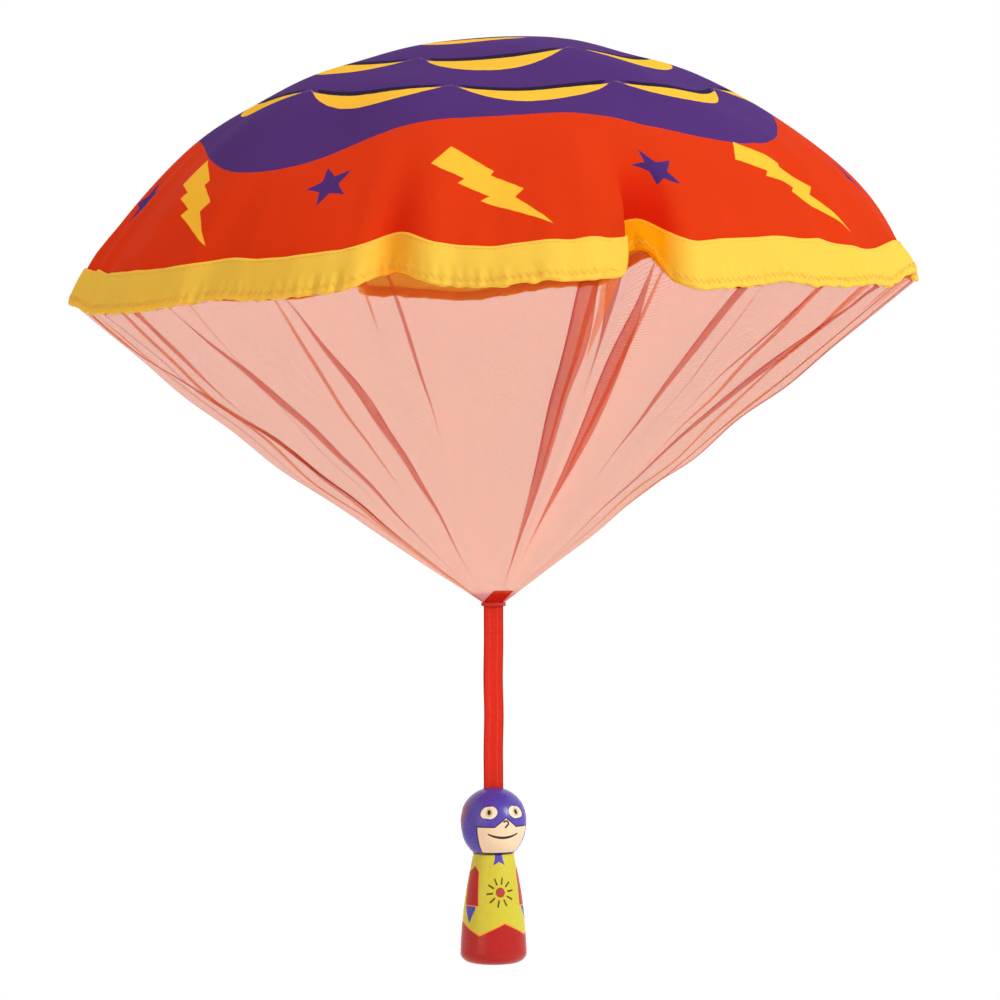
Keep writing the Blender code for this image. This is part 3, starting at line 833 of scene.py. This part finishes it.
def head_material(centre_z, radius):
    """The painted head: a purple hood and mask, with a plain face turned to the viewer's right."""
    graph = Graph("head_paint", colour=HOOD_PURPLE, soft=0.00022)
    vector, x, y, z = graph.place()
    side, back = turned(x, y, math.radians(18.0))
    u = graph.math("ARCTAN2", side, -back) * radius
    v = z - centre_z

    # The mask's lower edge rises to a peak over the nose, and the hood passes under the chin.
    peak = (1.0 - (u - 0.0011).size() / 0.0058).most(0.0)
    edge = peak * 0.0046 - 0.0016
    skin = ((u - 0.0008).size() - 0.0146).most(v - edge).most(-0.0147 - v)
    graph.paint(skin - 0.0007, (0.020, 0.012, 0.050), 0.0006)
    graph.paint(skin, SKIN)

    # A dull red, mottled patch lies on each side of the head, over the ears.
    ear = ellipse(graph, u.size(), v, (0.0252, 0.0050), (0.0036, 0.0080), 0.15)
    patch = graph.inside(ear, 0.0034) * (graph.noise(vector, 0.004) * 0.9 + 0.15)
    graph.lay(patch, (0.36, 0.050, 0.035))

    # Eyes lie each side of the nose, their inner ends higher.
    for hand in (-1.0, 1.0):
        white = ellipse(graph, u, v, (hand * 0.0078, 0.0058), (0.0046, 0.0032), -hand * 0.17)
        lid = (u - hand * 0.0078) * (hand * 0.10) + (v - 0.0058).size() - 0.0029
        white = white.most(lid)
        graph.paint(white - 0.0004, (0.050, 0.030, 0.120), 0.0004)
        graph.paint(white, (0.86, 0.80, 0.66))
        iris = ellipse(graph, u, v, (hand * 0.0077, 0.0060), (0.0019, 0.0021), 0.0)
        graph.lay(graph.inside(iris, 0.0010) * 0.75, (0.62, 0.45, 0.16))
        pupil = ellipse(graph, u, v, (hand * 0.0077, 0.0060), (0.00095, 0.00125), 0.0)
        graph.paint(pupil, (0.02, 0.014, 0.006))

    # The nose is a small hook, and the mouth one curved stroke.
    nose_x, nose_z, hook = 0.0010, 0.0005, 0.0013
    ring_x = u - nose_x
    ring_z = v - nose_z
    ring = (graph.distance(ring_x, ring_z) - hook).size() - 0.00044
    ring = ring.most(-(ring_z + ring_x * 0.55 + 0.0002))
    bottom = (nose_x - 0.0002, nose_z - 0.0019)
    tail = stroke(graph, u, v, (nose_x + hook * 0.9, nose_z - 0.0005), bottom, 0.00048)
    graph.paint(ring.least(tail), PAINT_BROWN)
    mouth_half = 0.0083
    share = u / mouth_half
    level = share * share * 0.0019 - 0.0067
    thick = 0.00066 - share * share * 0.00024
    mouth = ((v - level).size() - thick).most(u.size() - mouth_half)
    graph.paint(mouth, PAINT_BROWN)
    return paint_finish(graph, vector)


def body_material(base_z, radius, height):
    """The painted body: a yellow top, red below a zigzag, sleeves, hands and a knotted scarf."""
    graph = Graph("body_paint", colour=PAINT_YELLOW, soft=0.00025)
    vector, x, y, z = graph.place()
    side, back = turned(x, y, math.radians(14.0))
    azimuth = graph.math("ARCTAN2", side, -back)
    u = azimuth * radius
    v = z - base_z

    # Four points of red rise round the body, edged with orange.
    phase = graph.math("PINGPONG", azimuth + (2 * math.tau - 0.11), math.pi / 4)
    edge = 0.0211 - phase * (0.0062 / (math.pi / 4))
    graph.paint(v - edge - 0.0008, PAINT_ORANGE, 0.0004)
    graph.paint(v - edge, PAINT_RED)

    # A sleeve lies down each side, with a pointed hand below it.
    arm_u = u.size() - 0.0160
    lean = (v - 0.0300) * 0.10
    sleeve = ((arm_u - lean).size() - 0.0044).most(0.0298 - v)
    shoulder = ((arm_u - lean + 0.0012).size() * 0.55 + v - 0.0492).most((arm_u - lean) * -0.9 + v - 0.0505)
    sleeve = sleeve.most(shoulder)
    graph.paint(sleeve - 0.0005, PAINT_ORANGE, 0.0004)
    graph.paint(sleeve, PAINT_RED)
    hand_taper = (v - 0.0208) * 0.46
    hand = ((arm_u - 0.0004).size() - hand_taper.least(0.0034)).most(v - 0.0294)
    graph.paint(hand, HOOD_PURPLE)

    # The scarf's knot and its two pointed tails hang from the neck.
    drop = height - v
    knot = (u.size() - 0.0028).most(drop - 0.0026)
    corners = ((-0.0010, 0.0005), (0.0022, 0.0005), (0.0040, 0.0053), (-0.0010, 0.0030))
    tail = convex(u.size(), drop, corners)
    graph.paint(knot.least(tail), HOOD_PURPLE)

    # A plain sun: a dot with straight rays.
    sun_z = v - 0.0367
    out = graph.distance(u, sun_z)
    around = graph.math("ARCTAN2", sun_z, u) + (2 * math.tau + 0.2)
    way = graph.sector(around, math.tau / 10)
    off = (out * way.sin()).size() - 0.00045
    rays = off.most((out - 0.0057).size() - 0.0018)
    graph.paint(rays, (0.085, 0.055, 0.012))
    graph.paint(out - 0.0025, (0.42, 0.050, 0.035))
    return paint_finish(graph, vector)


def wood_material():
    graph = Graph("bare_wood")
    vector, x, *_ = graph.place()
    rings = ((x * 900.0 + graph.noise(vector, 0.004) * 6.0).sin()) * 0.5 + 0.5
    colour = graph.mix(rings * 0.5, WOOD, darker(WOOD, 0.7))
    surface = graph.surface(
        Base_Color=colour,
        Roughness=rings * 0.12 + 0.55,
        Normal=graph.bump(rings * 0.00003),
    )
    return graph.finish(surface)


def make_canopy():
    share = np.linspace(0.0, 1.0, CANOPY_ROWS)
    arcs = 0.002 + (CANOPY_ARC - 0.0005 - 0.002) * (1.0 - (1.0 - share) ** 1.3)
    turns = np.arange(CANOPY_COLUMNS) / CANOPY_COLUMNS
    points = canopy_surface(arcs[:, None], turns[None])
    flat = polar(arcs[:, None], np.arange(CANOPY_COLUMNS + 1) / CANOPY_COLUMNS)
    crown = canopy_surface(0.0, 0.0).tolist()
    # Painted shade: how deep each point lies in a fold, which deepens and darkens the cloth's colour there.
    shade = np.append(painted_fold_shade(arcs[:, None], turns), 0.0)
    piece = grid_piece("canopy_cloth_soft", [(points, flat)], print_material(), crown, {"shade": shade})
    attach(piece, "canopy")
    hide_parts("canopy_cloth")
    return piece


def band_section():
    """The hem band's section, from its top edge outside, round the fold, to its top edge inside."""
    section = [(BAND_TOP_ARC - 0.0001, 0.0001), (BAND_TOP_ARC - 0.0004, 0.0007)]
    outside = np.linspace(BAND_TOP_ARC + 0.0002, CANOPY_ARC, 17)
    section += [(arc, BAND_OFFSET) for arc in outside]
    for angle in np.linspace(0.0, math.pi, 9)[1:-1]:
        section.append((CANOPY_ARC + 0.0002 + BAND_OFFSET * math.sin(angle), BAND_OFFSET * math.cos(angle)))
    inside = np.linspace(CANOPY_ARC, BAND_TOP_ARC + 0.0015, 9)
    section += [(arc, -BAND_OFFSET) for arc in inside]
    section.append((BAND_TOP_ARC + 0.0010, -0.0005))
    return np.array(section)


def band_relief(arc, turn):
    """How far the hem puffs and puckers outwards between its stitching."""
    height = (arc - BAND_TOP_ARC) / BAND_HEIGHT
    puff = 0.0004 * np.sin(np.pi * np.clip(height, 0.0, 1.0))
    low = smooth_step((height - 0.45) / 0.4)
    foot = smooth_step((height - 0.76) / 0.14)
    wide = sum(ripples(turn, *sizes) for sizes in BAND_RIPPLES)
    return puff + low * wide + foot * ripples(turn, *BAND_FOOT_RIPPLES)


def make_hem_band():
    section = band_section()
    turns = np.arange(BAND_COLUMNS) / BAND_COLUMNS
    arcs = section[:, 0][:, None] + 0.0 * turns[None]
    side = np.sign(section[:, 1])[:, None]
    low = smooth_step((arcs - BAND_TOP_ARC) / BAND_HEIGHT)
    arcs = arcs + low * ripples(turns, *BAND_EDGE_RIPPLES)[None]
    offset = section[:, 1][:, None] + side * band_relief(arcs, turns[None]) * 0.9
    points = hem_layer(arcs, turns[None], offset)
    flat = flat_grid(np.linspace(0.0, HEM_LENGTH, BAND_COLUMNS + 1), running_length(section))
    # Painted shade: how deep each point lies in a fold, which deepens and darkens the cloth's colour there.
    shade = painted_fold_shade(arcs, turns)
    piece = grid_piece("hem_band_soft", [(points, flat)], band_material(), numbers={"shade": shade})
    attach(piece, "canopy")
    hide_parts("hem_band")
    return piece


def stitch_line(pitch):
    """The places in the turn of a line of stitches, and their angles, with one round to a stitch."""
    steps = np.arange(round(HEM_LENGTH / pitch) * STITCH_STEPS)
    return steps / len(steps), math.tau * steps / STITCH_STEPS


def sewn_thread(name, arcs, turns, rise, radius, material):
    """A thread on the outer face of the hem, at a rise above it."""
    path = hem_layer(arcs, turns, BAND_OFFSET + band_relief(arcs, turns) + rise)
    normals = hem_layer(arcs, turns, 1.0) - canopy_surface(arcs, turns)
    piece = tube_piece(name, path, normals, radius, material)
    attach(piece, "canopy")
    return piece


def make_stitches(material):
    """Zigzag stitching along the foot of the hem, and a running stitch below its top edge."""
    turns, angles = stitch_line(0.0031)
    swing = 2.0 / math.pi * np.arcsin(0.98 * np.sin(angles))
    arcs = CANOPY_ARC - 0.0023 + 0.0014 * swing
    zigzag = sewn_thread("hem_zigzag", arcs, turns, 0.00014, 0.00013, material)
    turns, angles = stitch_line(0.0027)
    arcs = np.full(len(turns), BAND_TOP_ARC + 0.0013)
    rise = 0.00012 - 0.0006 * np.maximum(0.0, np.cos(angles)) ** 2
    return [zigzag, sewn_thread("hem_topstitch", arcs, turns, rise, 0.00018, material)]


def collar_outline(turn, out):
    """Points on the oblong opening of the collar, grown outwards by a distance."""
    power = 2 / COLLAR_SQUARENESS
    across = np.cos(math.tau * turn)
    along = np.sin(math.tau * turn)
    x = (COLLAR_HALF_WIDTH + out) * np.copysign(np.abs(across) ** power, across)
    y = (COLLAR_HALF_DEPTH + out) * np.copysign(np.abs(along) ** power, along)
    return x, y


def pleat_drift(share):
    """The part of its drift that a pleat has made at each share of the way to the tip."""
    return 1.0 - (1.0 - np.clip(share / PLEAT_DRIFT_SHARE, 0.0, 1.0)) ** 2


def net_stand(share, turn):
    """How far the main pleats stand out of the net beside the hem."""
    depth = np.zeros_like(turn)
    for centre, drift, *_, stand in NET_PLEATS:
        away = turn_between(turn, centre + drift * pleat_drift(share)) / (PLEAT_WIDTH / 2 / HEM_LENGTH)
        depth = np.maximum(depth, PLEAT_DEPTH * stand * bell(away))
    return depth


def net_surface(share, turn, offset):
    """Points on the net, from the hem at 0 to the top of the collar at 1, at an offset outwards."""
    arcs = np.full_like(turn, BAND_FOLD_ARC)
    loose = smooth_step(share / 0.35)[..., None]
    start = hem_layer(arcs, turn, -NET_OFFSET) * (1.0 - loose)
    start += hem_layer(arcs, turn, -NET_OFFSET, tucked=False) * loose
    x, y = collar_outline(turn, NET_THICKNESS / 2)
    end = np.stack([x, y, np.full_like(x, COLLAR_Z + COLLAR_HEIGHT)], axis=-1)
    outward = polar(1.0, turn, 0.0)
    normal = outward * NET_DROP
    normal[..., 2] = -HEM_RADIUS
    normal = unit(normal)
    bulge = NET_BULGE * (1.0 - BULGE_SIDE_SHARE * outward[..., 0]) * np.sin(np.pi * share)
    fade = smooth_step(share / PLEAT_FADE_SHARE) * smooth_step((1.0 - share) / PLEAT_FADE_SHARE)
    stand = net_stand(share, turn) * (1.0 - share) * fade
    share = share[..., None]
    return start * (1.0 - share) + end * share + normal * (bulge + stand + offset)[..., None]


def pleat_rows(share):
    """The middle and the width of each pleat's doubled strip, in turns, at each row of the net."""
    middles, widths = [], []
    for centre, drift, width, start, widest, finish, _, _ in NET_PLEATS:
        before = smooth_step((share - start) / (widest - start))
        after = smooth_step((finish - share) / (finish - widest))
        widths.append(width * np.minimum(before, after) + 1e-6)
        middles.append(centre + drift * pleat_drift(share))
    return np.array(middles), np.array(widths)


def folded_share(away):
    """The running length, from 0 to 2, of the stretch from -1 to 1 where a pleat turns back."""
    corner = 0.25
    fine = np.linspace(-2.0, 2.0, 801)
    back = smooth_step((1.0 + corner - np.abs(fine)) / (2 * corner))
    total = np.cumsum(back)
    return np.interp(away, fine, 2.0 * total / total[-1])


def net_columns(middles, widths):
    """Places in the flat cloth for each row, close together at each pleat and even between them."""
    half_windows = np.maximum(widths, 0.0012) / 2
    sides = [-side for side in PLEAT_COLUMNS] + [0.0] + list(reversed(PLEAT_COLUMNS))
    columns = []
    for index in range(len(NET_PLEATS)):
        columns += [middles[index] + half_windows[index] * side for side in sides]
        following = (index + 1) % len(NET_PLEATS)
        wrap = 1.0 if following == 0 else 0.0
        goal = middles[following] - half_windows[following] * sides[-1] + wrap
        number = max(3, round((goal[0] - columns[-1][0]) * NET_COLUMNS_PER_TURN))
        start = columns[-1]
        columns += [start + (goal - start) * step / number for step in range(1, number)]
    return np.array(columns).T


def make_net():
    rows = np.concatenate([[-0.035, -0.02, -0.005], np.linspace(0.0, 1.0, NET_ROWS) ** 0.92])
    share = np.clip(rows, 0.0, 1.0)
    centres, doubled = pleat_rows(share)

    # Widths are set on the cone and kept in the flat cloth, which is longer by what the pleats take up.
    stretch = 1.0 + 2.0 * doubled.sum(axis=0)
    widths = doubled / stretch
    before = np.cumsum(widths, axis=0) - widths
    middles = centres / stretch + 2.0 * before + widths
    places = net_columns(middles, widths)

    # Each pleat runs on, turns back and runs on again, its three layers a little apart.
    turn = places * stretch[:, None]
    offset = np.zeros_like(places)
    crease = np.zeros_like(places)
    for index, (*_, side, _) in enumerate(NET_PLEATS):
        wide = widths[index][:, None]
        half = wide / 2
        presence = smooth_step(wide * stretch[:, None] / 0.0022)
        for shift in (-1.0, 0.0, 1.0):
            away = (places + shift - middles[index][:, None]) / half
            turn = turn - stretch[:, None] * wide * (folded_share(away) - (2.0 if shift > 0.0 else 0.0))
            near = np.clip(away, -4.0, 4.0)
            layer = -near * np.exp(-(near**4) / 8) * 1.133
            offset += side * NET_LAYER / 2 * layer * presence * (1.0 - 0.75 * share[:, None])
            # The crease number marks each pleat's folded edges and middle: denser there for the doubled
            # layers, and painted darker as shade.
            edge = np.exp(-(((np.abs(near) - 1.0) / 0.20) ** 2)) * (0.8 + 0.2 * side * np.sign(-near))
            fill = 0.20 * np.clip(1.6 - np.abs(near) * 0.5, 0.0, 1.0)
            crease = np.maximum(crease, presence * np.maximum(edge, fill))
    radius = NET_FLAT_RADIUS * (1.0 - share) + 0.012 * share
    offset += smooth_step(1.0 - share / 0.16)[:, None] * ripples(places, *NET_RIPPLES)
    flat_x, flat_y = np.moveaxis(polar(radius[:, None], places), -1, 0)
    offset += waves(flat_x, flat_y, *NET_WAVES) * np.sin(np.pi * share)[:, None]
    points = net_surface(share[:, None] + 0.0 * places, turn, offset)

    # The seam lies inside the hem, and the neck runs down through the binding.
    for row in np.flatnonzero(rows < 0.0):
        arcs = np.full(places.shape[1], BAND_FOLD_ARC - NET_SEAM * rows[row] / rows[0])
        points[row] = hem_layer(arcs, turn[row], -NET_OFFSET - 0.0002)
    neck = points[-1:].repeat(3, axis=0)
    neck[..., 2] -= np.linspace(0.0, COLLAR_HEIGHT, 4)[1:, None]
    points = np.concatenate([points, neck])
    radius = radius - np.minimum(rows, 0.0) * 0.18
    radius = np.concatenate([radius, radius[-1] - np.linspace(0.0, COLLAR_HEIGHT, 4)[1:]])
    ends = np.concatenate([places, places[:, :1] + 1.0], axis=1)
    flat = polar(radius[:, None], np.concatenate([ends, ends[-1:].repeat(3, axis=0)]))
    # The seam strip inside the hem and the gathered net at the collar get crease numbers too: denser for the
    # doubled net, and painted darker as shade.
    seam = smooth_step(-rows / 0.006)[:, None]
    crease = np.maximum(crease, seam * 0.55)
    crease = np.maximum(crease, smooth_step((share - 0.962) / 0.020)[:, None] * 0.50)
    crease = np.concatenate([crease, crease[-1:].repeat(3, axis=0)])
    piece = grid_piece("net_cone_soft", [(points, flat)], net_material(), numbers={"crease": crease})
    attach(piece, "canopy")
    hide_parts("net_cone")
    return piece


def make_binding(material):
    """Red thread whipped five times round the collar."""
    steps = 5 * THREAD_STEPS
    turn = np.arange(steps + 1) / THREAD_STEPS
    x, y = collar_outline(turn, NET_THICKNESS + 0.0001)
    low, high = (corner.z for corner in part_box("tip_binding"))
    z = np.linspace(low, high, steps + 1)
    path = np.stack([x, y, z], axis=-1)
    normals = np.tile([0.0, 0.0, 1.0], (steps + 1, 1))
    piece = tube_piece("tip_binding_thread", path, normals, 0.00022, material, closed=False)
    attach(piece, "canopy")
    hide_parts("tip_binding")
    return piece


def ribbon_place(z):
    """How far the hanging strap wanders from its straight line, and how far its plies part."""
    share = np.clip((STRAP_TOP_Z - z) / (STRAP_TOP_Z - STRAP_BOTTOM_Z), 0.0, 1.0)
    loose = np.sin(np.pi * share) ** 2
    x = loose * 0.00022 * np.sin(math.tau * z / 0.043 + 1.0)
    y = loose * 0.0006 * np.sin(math.tau * z / 0.062 + 2.0)
    part = loose * 0.00025 * (1.0 + np.sin(math.tau * z / 0.035))
    return x, y, part


def ribbon_ply(path, width, thickness):
    """The points and flat places of one ply of ribbon, which lies across X along its path."""
    shares = np.linspace(-1.0, 1.0, 11)
    thick = np.where(np.abs(shares) > 0.85, 1.2, 1.0)
    thick[[0, -1]] = 0.5
    across = np.concatenate([shares, shares[::-1]]) * width / 2
    out = np.concatenate([-thick, thick[::-1]]) * thickness / 2
    tangent = unit(np.gradient(path, axis=0))
    side = np.array([1.0, 0.0, 0.0])
    facing = unit(np.cross(side, tangent))
    points = path[:, None] + side * across[None, :, None] + facing[:, None] * out[None, :, None]
    return points, flat_grid(np.append(across, across[0]), path[0, 2] - running_length(path))


def ribbon_stretch(name, top, bottom, material):
    """A stretch of the doubled strap between two heights."""
    z = np.linspace(top, bottom, max(4, round((top - bottom) / 0.0006)))
    x, y, part = ribbon_place(z)
    plies = []
    for hand in (-1.0, 1.0):
        path = np.stack([x, y + hand * (RIBBON_PLY / 2 + part), z], axis=-1)
        plies.append(ribbon_ply(path, RIBBON_WIDTH, RIBBON_PLY * 0.92))
    piece = grid_piece(name, plies, material)
    return piece


def make_strap():
    material = ribbon_material()

    # Inside the net, the ribbon slants to one side and folds over.
    low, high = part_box("strap_fold")
    lean = (high.x - low.x - RIBBON_WIDTH) / (high.z - low.z)
    bend = (high.y - low.y - RIBBON_PLY) / 2
    rise = np.linspace(STRAP_TOP_Z, high.z - bend - RIBBON_PLY / 2, 10)
    angle = np.linspace(0.0, math.pi, 9)[1:-1]
    z = np.concatenate([rise, rise[-1] + bend * np.sin(angle), rise[::-1]])
    y = np.concatenate([np.full(10, -bend), -bend * np.cos(angle), np.full(10, bend)])
    squeeze = smooth_step((STRAP_TOP_Z + 0.002 - z) / 0.002)
    y = y * (1.0 - squeeze) + np.copysign(RIBBON_PLY / 2, y) * squeeze
    path = np.stack([(z - STRAP_TOP_Z) * lean, y, z], axis=-1)
    fold = grid_piece("strap_fold_ribbon", [ribbon_ply(path, RIBBON_WIDTH, RIBBON_PLY)], material)
    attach(fold, "canopy")
    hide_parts("strap_fold")

    lap = 0.0001
    cuts = (STRAP_TOP_Z, -0.2905, -0.2985, -0.3695, STRAP_BOTTOM_Z)
    bends = (
        ("strap_top_ribbon", "canopy", "strap_top", SWAY_Z + 0.003, SWAY_Z - 0.002),
        ("strap_upper_ribbon", "strap_top", "strap_upper", -0.2907, -0.2950),
        ("strap_long_ribbon", "strap_upper", "strap_lower", -0.3000, -0.3680),
        ("strap_end_ribbon", "strap_lower", "figure", -0.3725, -0.3775),
    )
    nodes = ("strap_top", "strap_upper", "strap_lower", "strap_end")
    pieces = []
    for (name, above, below, start, end), top, bottom, node in zip(bends, cuts, cuts[1:], nodes):
        piece = ribbon_stretch(name, top + lap, bottom - lap, material)
        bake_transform(piece)
        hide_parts(node)
        pieces.append(piece)
    z = np.linspace(cuts[2] + lap, cuts[3] - lap, 30)
    x, y, _ = ribbon_place(z)
    path = np.stack([x, y, z], axis=-1)
    return pieces


def turned_piece(name, profile, material):
    """A round piece turned from a profile of radius and height, which runs from top to bottom."""
    profile = np.array(profile)
    turns = np.arange(TURNED_STEPS + 1) / TURNED_STEPS
    points = polar(profile[:, :1], turns[:-1], profile[:, 1:])
    flat = flat_grid(turns, profile[:, 1])
    crown = (0.0, 0.0, profile[0, 1])
    return grid_piece(name, [(points, flat)], material, crown)


def rounded(centre, radius, start, end, steps):
    """Points of a profile's arc about a centre, from one angle to another."""
    angles = np.linspace(start, end, steps)
    return [(centre[0] + radius * math.cos(angle), centre[1] + radius * math.sin(angle)) for angle in angles]


def make_head():
    low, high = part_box("figure_head")
    radius = high.x
    centre_z = high.z - HEAD_UPPER_HEIGHT
    flat_angle = -math.asin((centre_z - low.z) / HEAD_LOWER_HEIGHT)
    profile = []
    for angle in np.linspace(math.pi / 2 - 0.01, flat_angle, 64):
        height = HEAD_UPPER_HEIGHT if angle > 0.0 else HEAD_LOWER_HEIGHT
        profile.append((radius * math.cos(angle), centre_z + height * math.sin(angle)))
    profile += [(profile[-1][0] - 0.0006, low.z), (0.0002, low.z)]
    head = turned_piece("figure_head_painted", profile, head_material(centre_z, radius))

    # The end of the strap is glued into a slot across the top.
    half_x = RIBBON_WIDTH / 2 + SLOT_GAP
    half_y = RIBBON_PLY + SLOT_GAP
    heights = (high.z - SLOT_DEPTH, high.z + 0.003)
    corners = [(x, y, z) for z in heights for y in (-half_y, half_y) for x in (-half_x, half_x)]
    sides = [(0, 2, 3, 1), (4, 5, 7, 6), (0, 1, 5, 4), (1, 3, 7, 5), (3, 2, 6, 7), (2, 0, 4, 6)]
    mesh = bpy.data.meshes.new("slot")
    mesh.from_pydata(corners, [], sides)
    cutter = new_object("slot", mesh)
    cut = head.modifiers.new("slot", "BOOLEAN")
    cut.operation = "DIFFERENCE"
    cut.solver = "EXACT"
    cut.object = cutter
    bpy.context.view_layer.update()
    carved = bpy.data.meshes.new_from_object(head.evaluated_get(bpy.context.evaluated_depsgraph_get()))
    head.modifiers.clear()
    head.data = carved
    carved.set_sharp_from_angle(angle=math.radians(40))
    bpy.data.objects.remove(cutter)
    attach(head, "figure")
    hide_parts("figure_head")
    return head


def make_body():
    low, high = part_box("figure_body")
    top_radius, base_radius, swell = 0.0107, 0.0172, 0.0013
    top_round, base_round = 0.0010, 0.0062
    profile = [(0.0003, high.z), (0.004, high.z)]
    profile += rounded((top_radius - top_round, high.z - top_round), top_round, math.pi / 2, 0.0, 9)
    side_top, side_bottom = high.z - top_round, low.z + base_round
    for step in range(1, 48):
        share = step / 48
        radius = top_radius + (base_radius - top_radius) * share + swell * math.sin(math.pi * share)
        profile.append((radius, side_top + (side_bottom - side_top) * share))
    profile += rounded((base_radius - base_round, side_bottom), base_round, 0.0, -math.pi / 2, 14)
    profile += [(0.006, low.z), (0.0002, low.z)]
    body = turned_piece("figure_body_painted", profile, body_material(low.z, 0.0150, high.z - low.z))
    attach(body, "figure")
    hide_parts("figure_body")
    return body


def make_lamps():
    for name, place, size, power, colour in LAMPS:
        light = bpy.data.lights.new(name, "AREA")
        light.shape = "RECTANGLE"
        light.size, light.size_y = size
        light.energy = power
        light.color = colour
        lamp = new_object(name, light)
        lamp.location = place
        lamp.rotation_euler = (LAMP_TARGET - Vector(place)).to_track_quat("-Z", "Y").to_euler()


def make_stage():
    scene = bpy.context.scene
    scene.view_settings.view_transform = "Standard"

    # The camera stands level with the hem and looks a little down.
    lens = bpy.data.cameras.new("camera")
    lens.sensor_width = 36.0
    lens.lens = 158.4
    camera = new_object("camera", lens)
    camera.location = (0.0, -2.2, -0.1435)
    camera.rotation_euler = (math.radians(90 - 2.292), 0.0, math.radians(-0.085))
    scene.camera = camera

    # The world is plain white behind the object, and lights it less.
    graph = Graph("studio", bpy.data.worlds)
    seen = graph.filled("Background", Color=(1.0, 1.0, 1.0))
    light = graph.filled("Background", Color=(1.0, 0.94, 0.88), Strength=0.48)
    kinds = graph.node("LightPath").outputs
    glossy, camera_ray = Value(graph, kinds["Is Glossy Ray"]), Value(graph, kinds["Is Camera Ray"])
    direct = camera_ray.most(glossy.most(Value(graph, kinds["Is Transmission Ray"])))
    scene.world = graph.finish(graph.blend(direct, light, seen), "OutputWorld")

    # The floor is a pale disc well below the hanging figure.
    graph = Graph("floor")
    vector = graph.node("TexCoord").outputs["Object"]
    tone = graph.noise(vector, 0.4, 2.0) * 0.02 + 0.92
    shade = graph.node("CombineColor")
    for socket in shade.inputs:
        graph.put(socket, tone)
    surface = graph.surface(Base_Color=shade.outputs[0], Roughness=0.9, Specular_IOR_Level=0.1)
    profile = [(radius, FLOOR_Z) for radius in (0.01, 0.5, 1.5, 2.5)]
    floor = turned_piece("floor", profile, graph.finish(surface))


make_lamps()
make_stage()
make_strap()
red_thread = thread_material("thread_red", THREAD_RED)
yellow_thread = thread_material("thread_yellow", THREAD_YELLOW)
canopy = make_canopy()
band = make_hem_band()
stitches = make_stitches(yellow_thread)
net = make_net()
binding = make_binding(red_thread)
make_head()
make_body()
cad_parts["neck_dowel"].material_slots[0].material = wood_material()
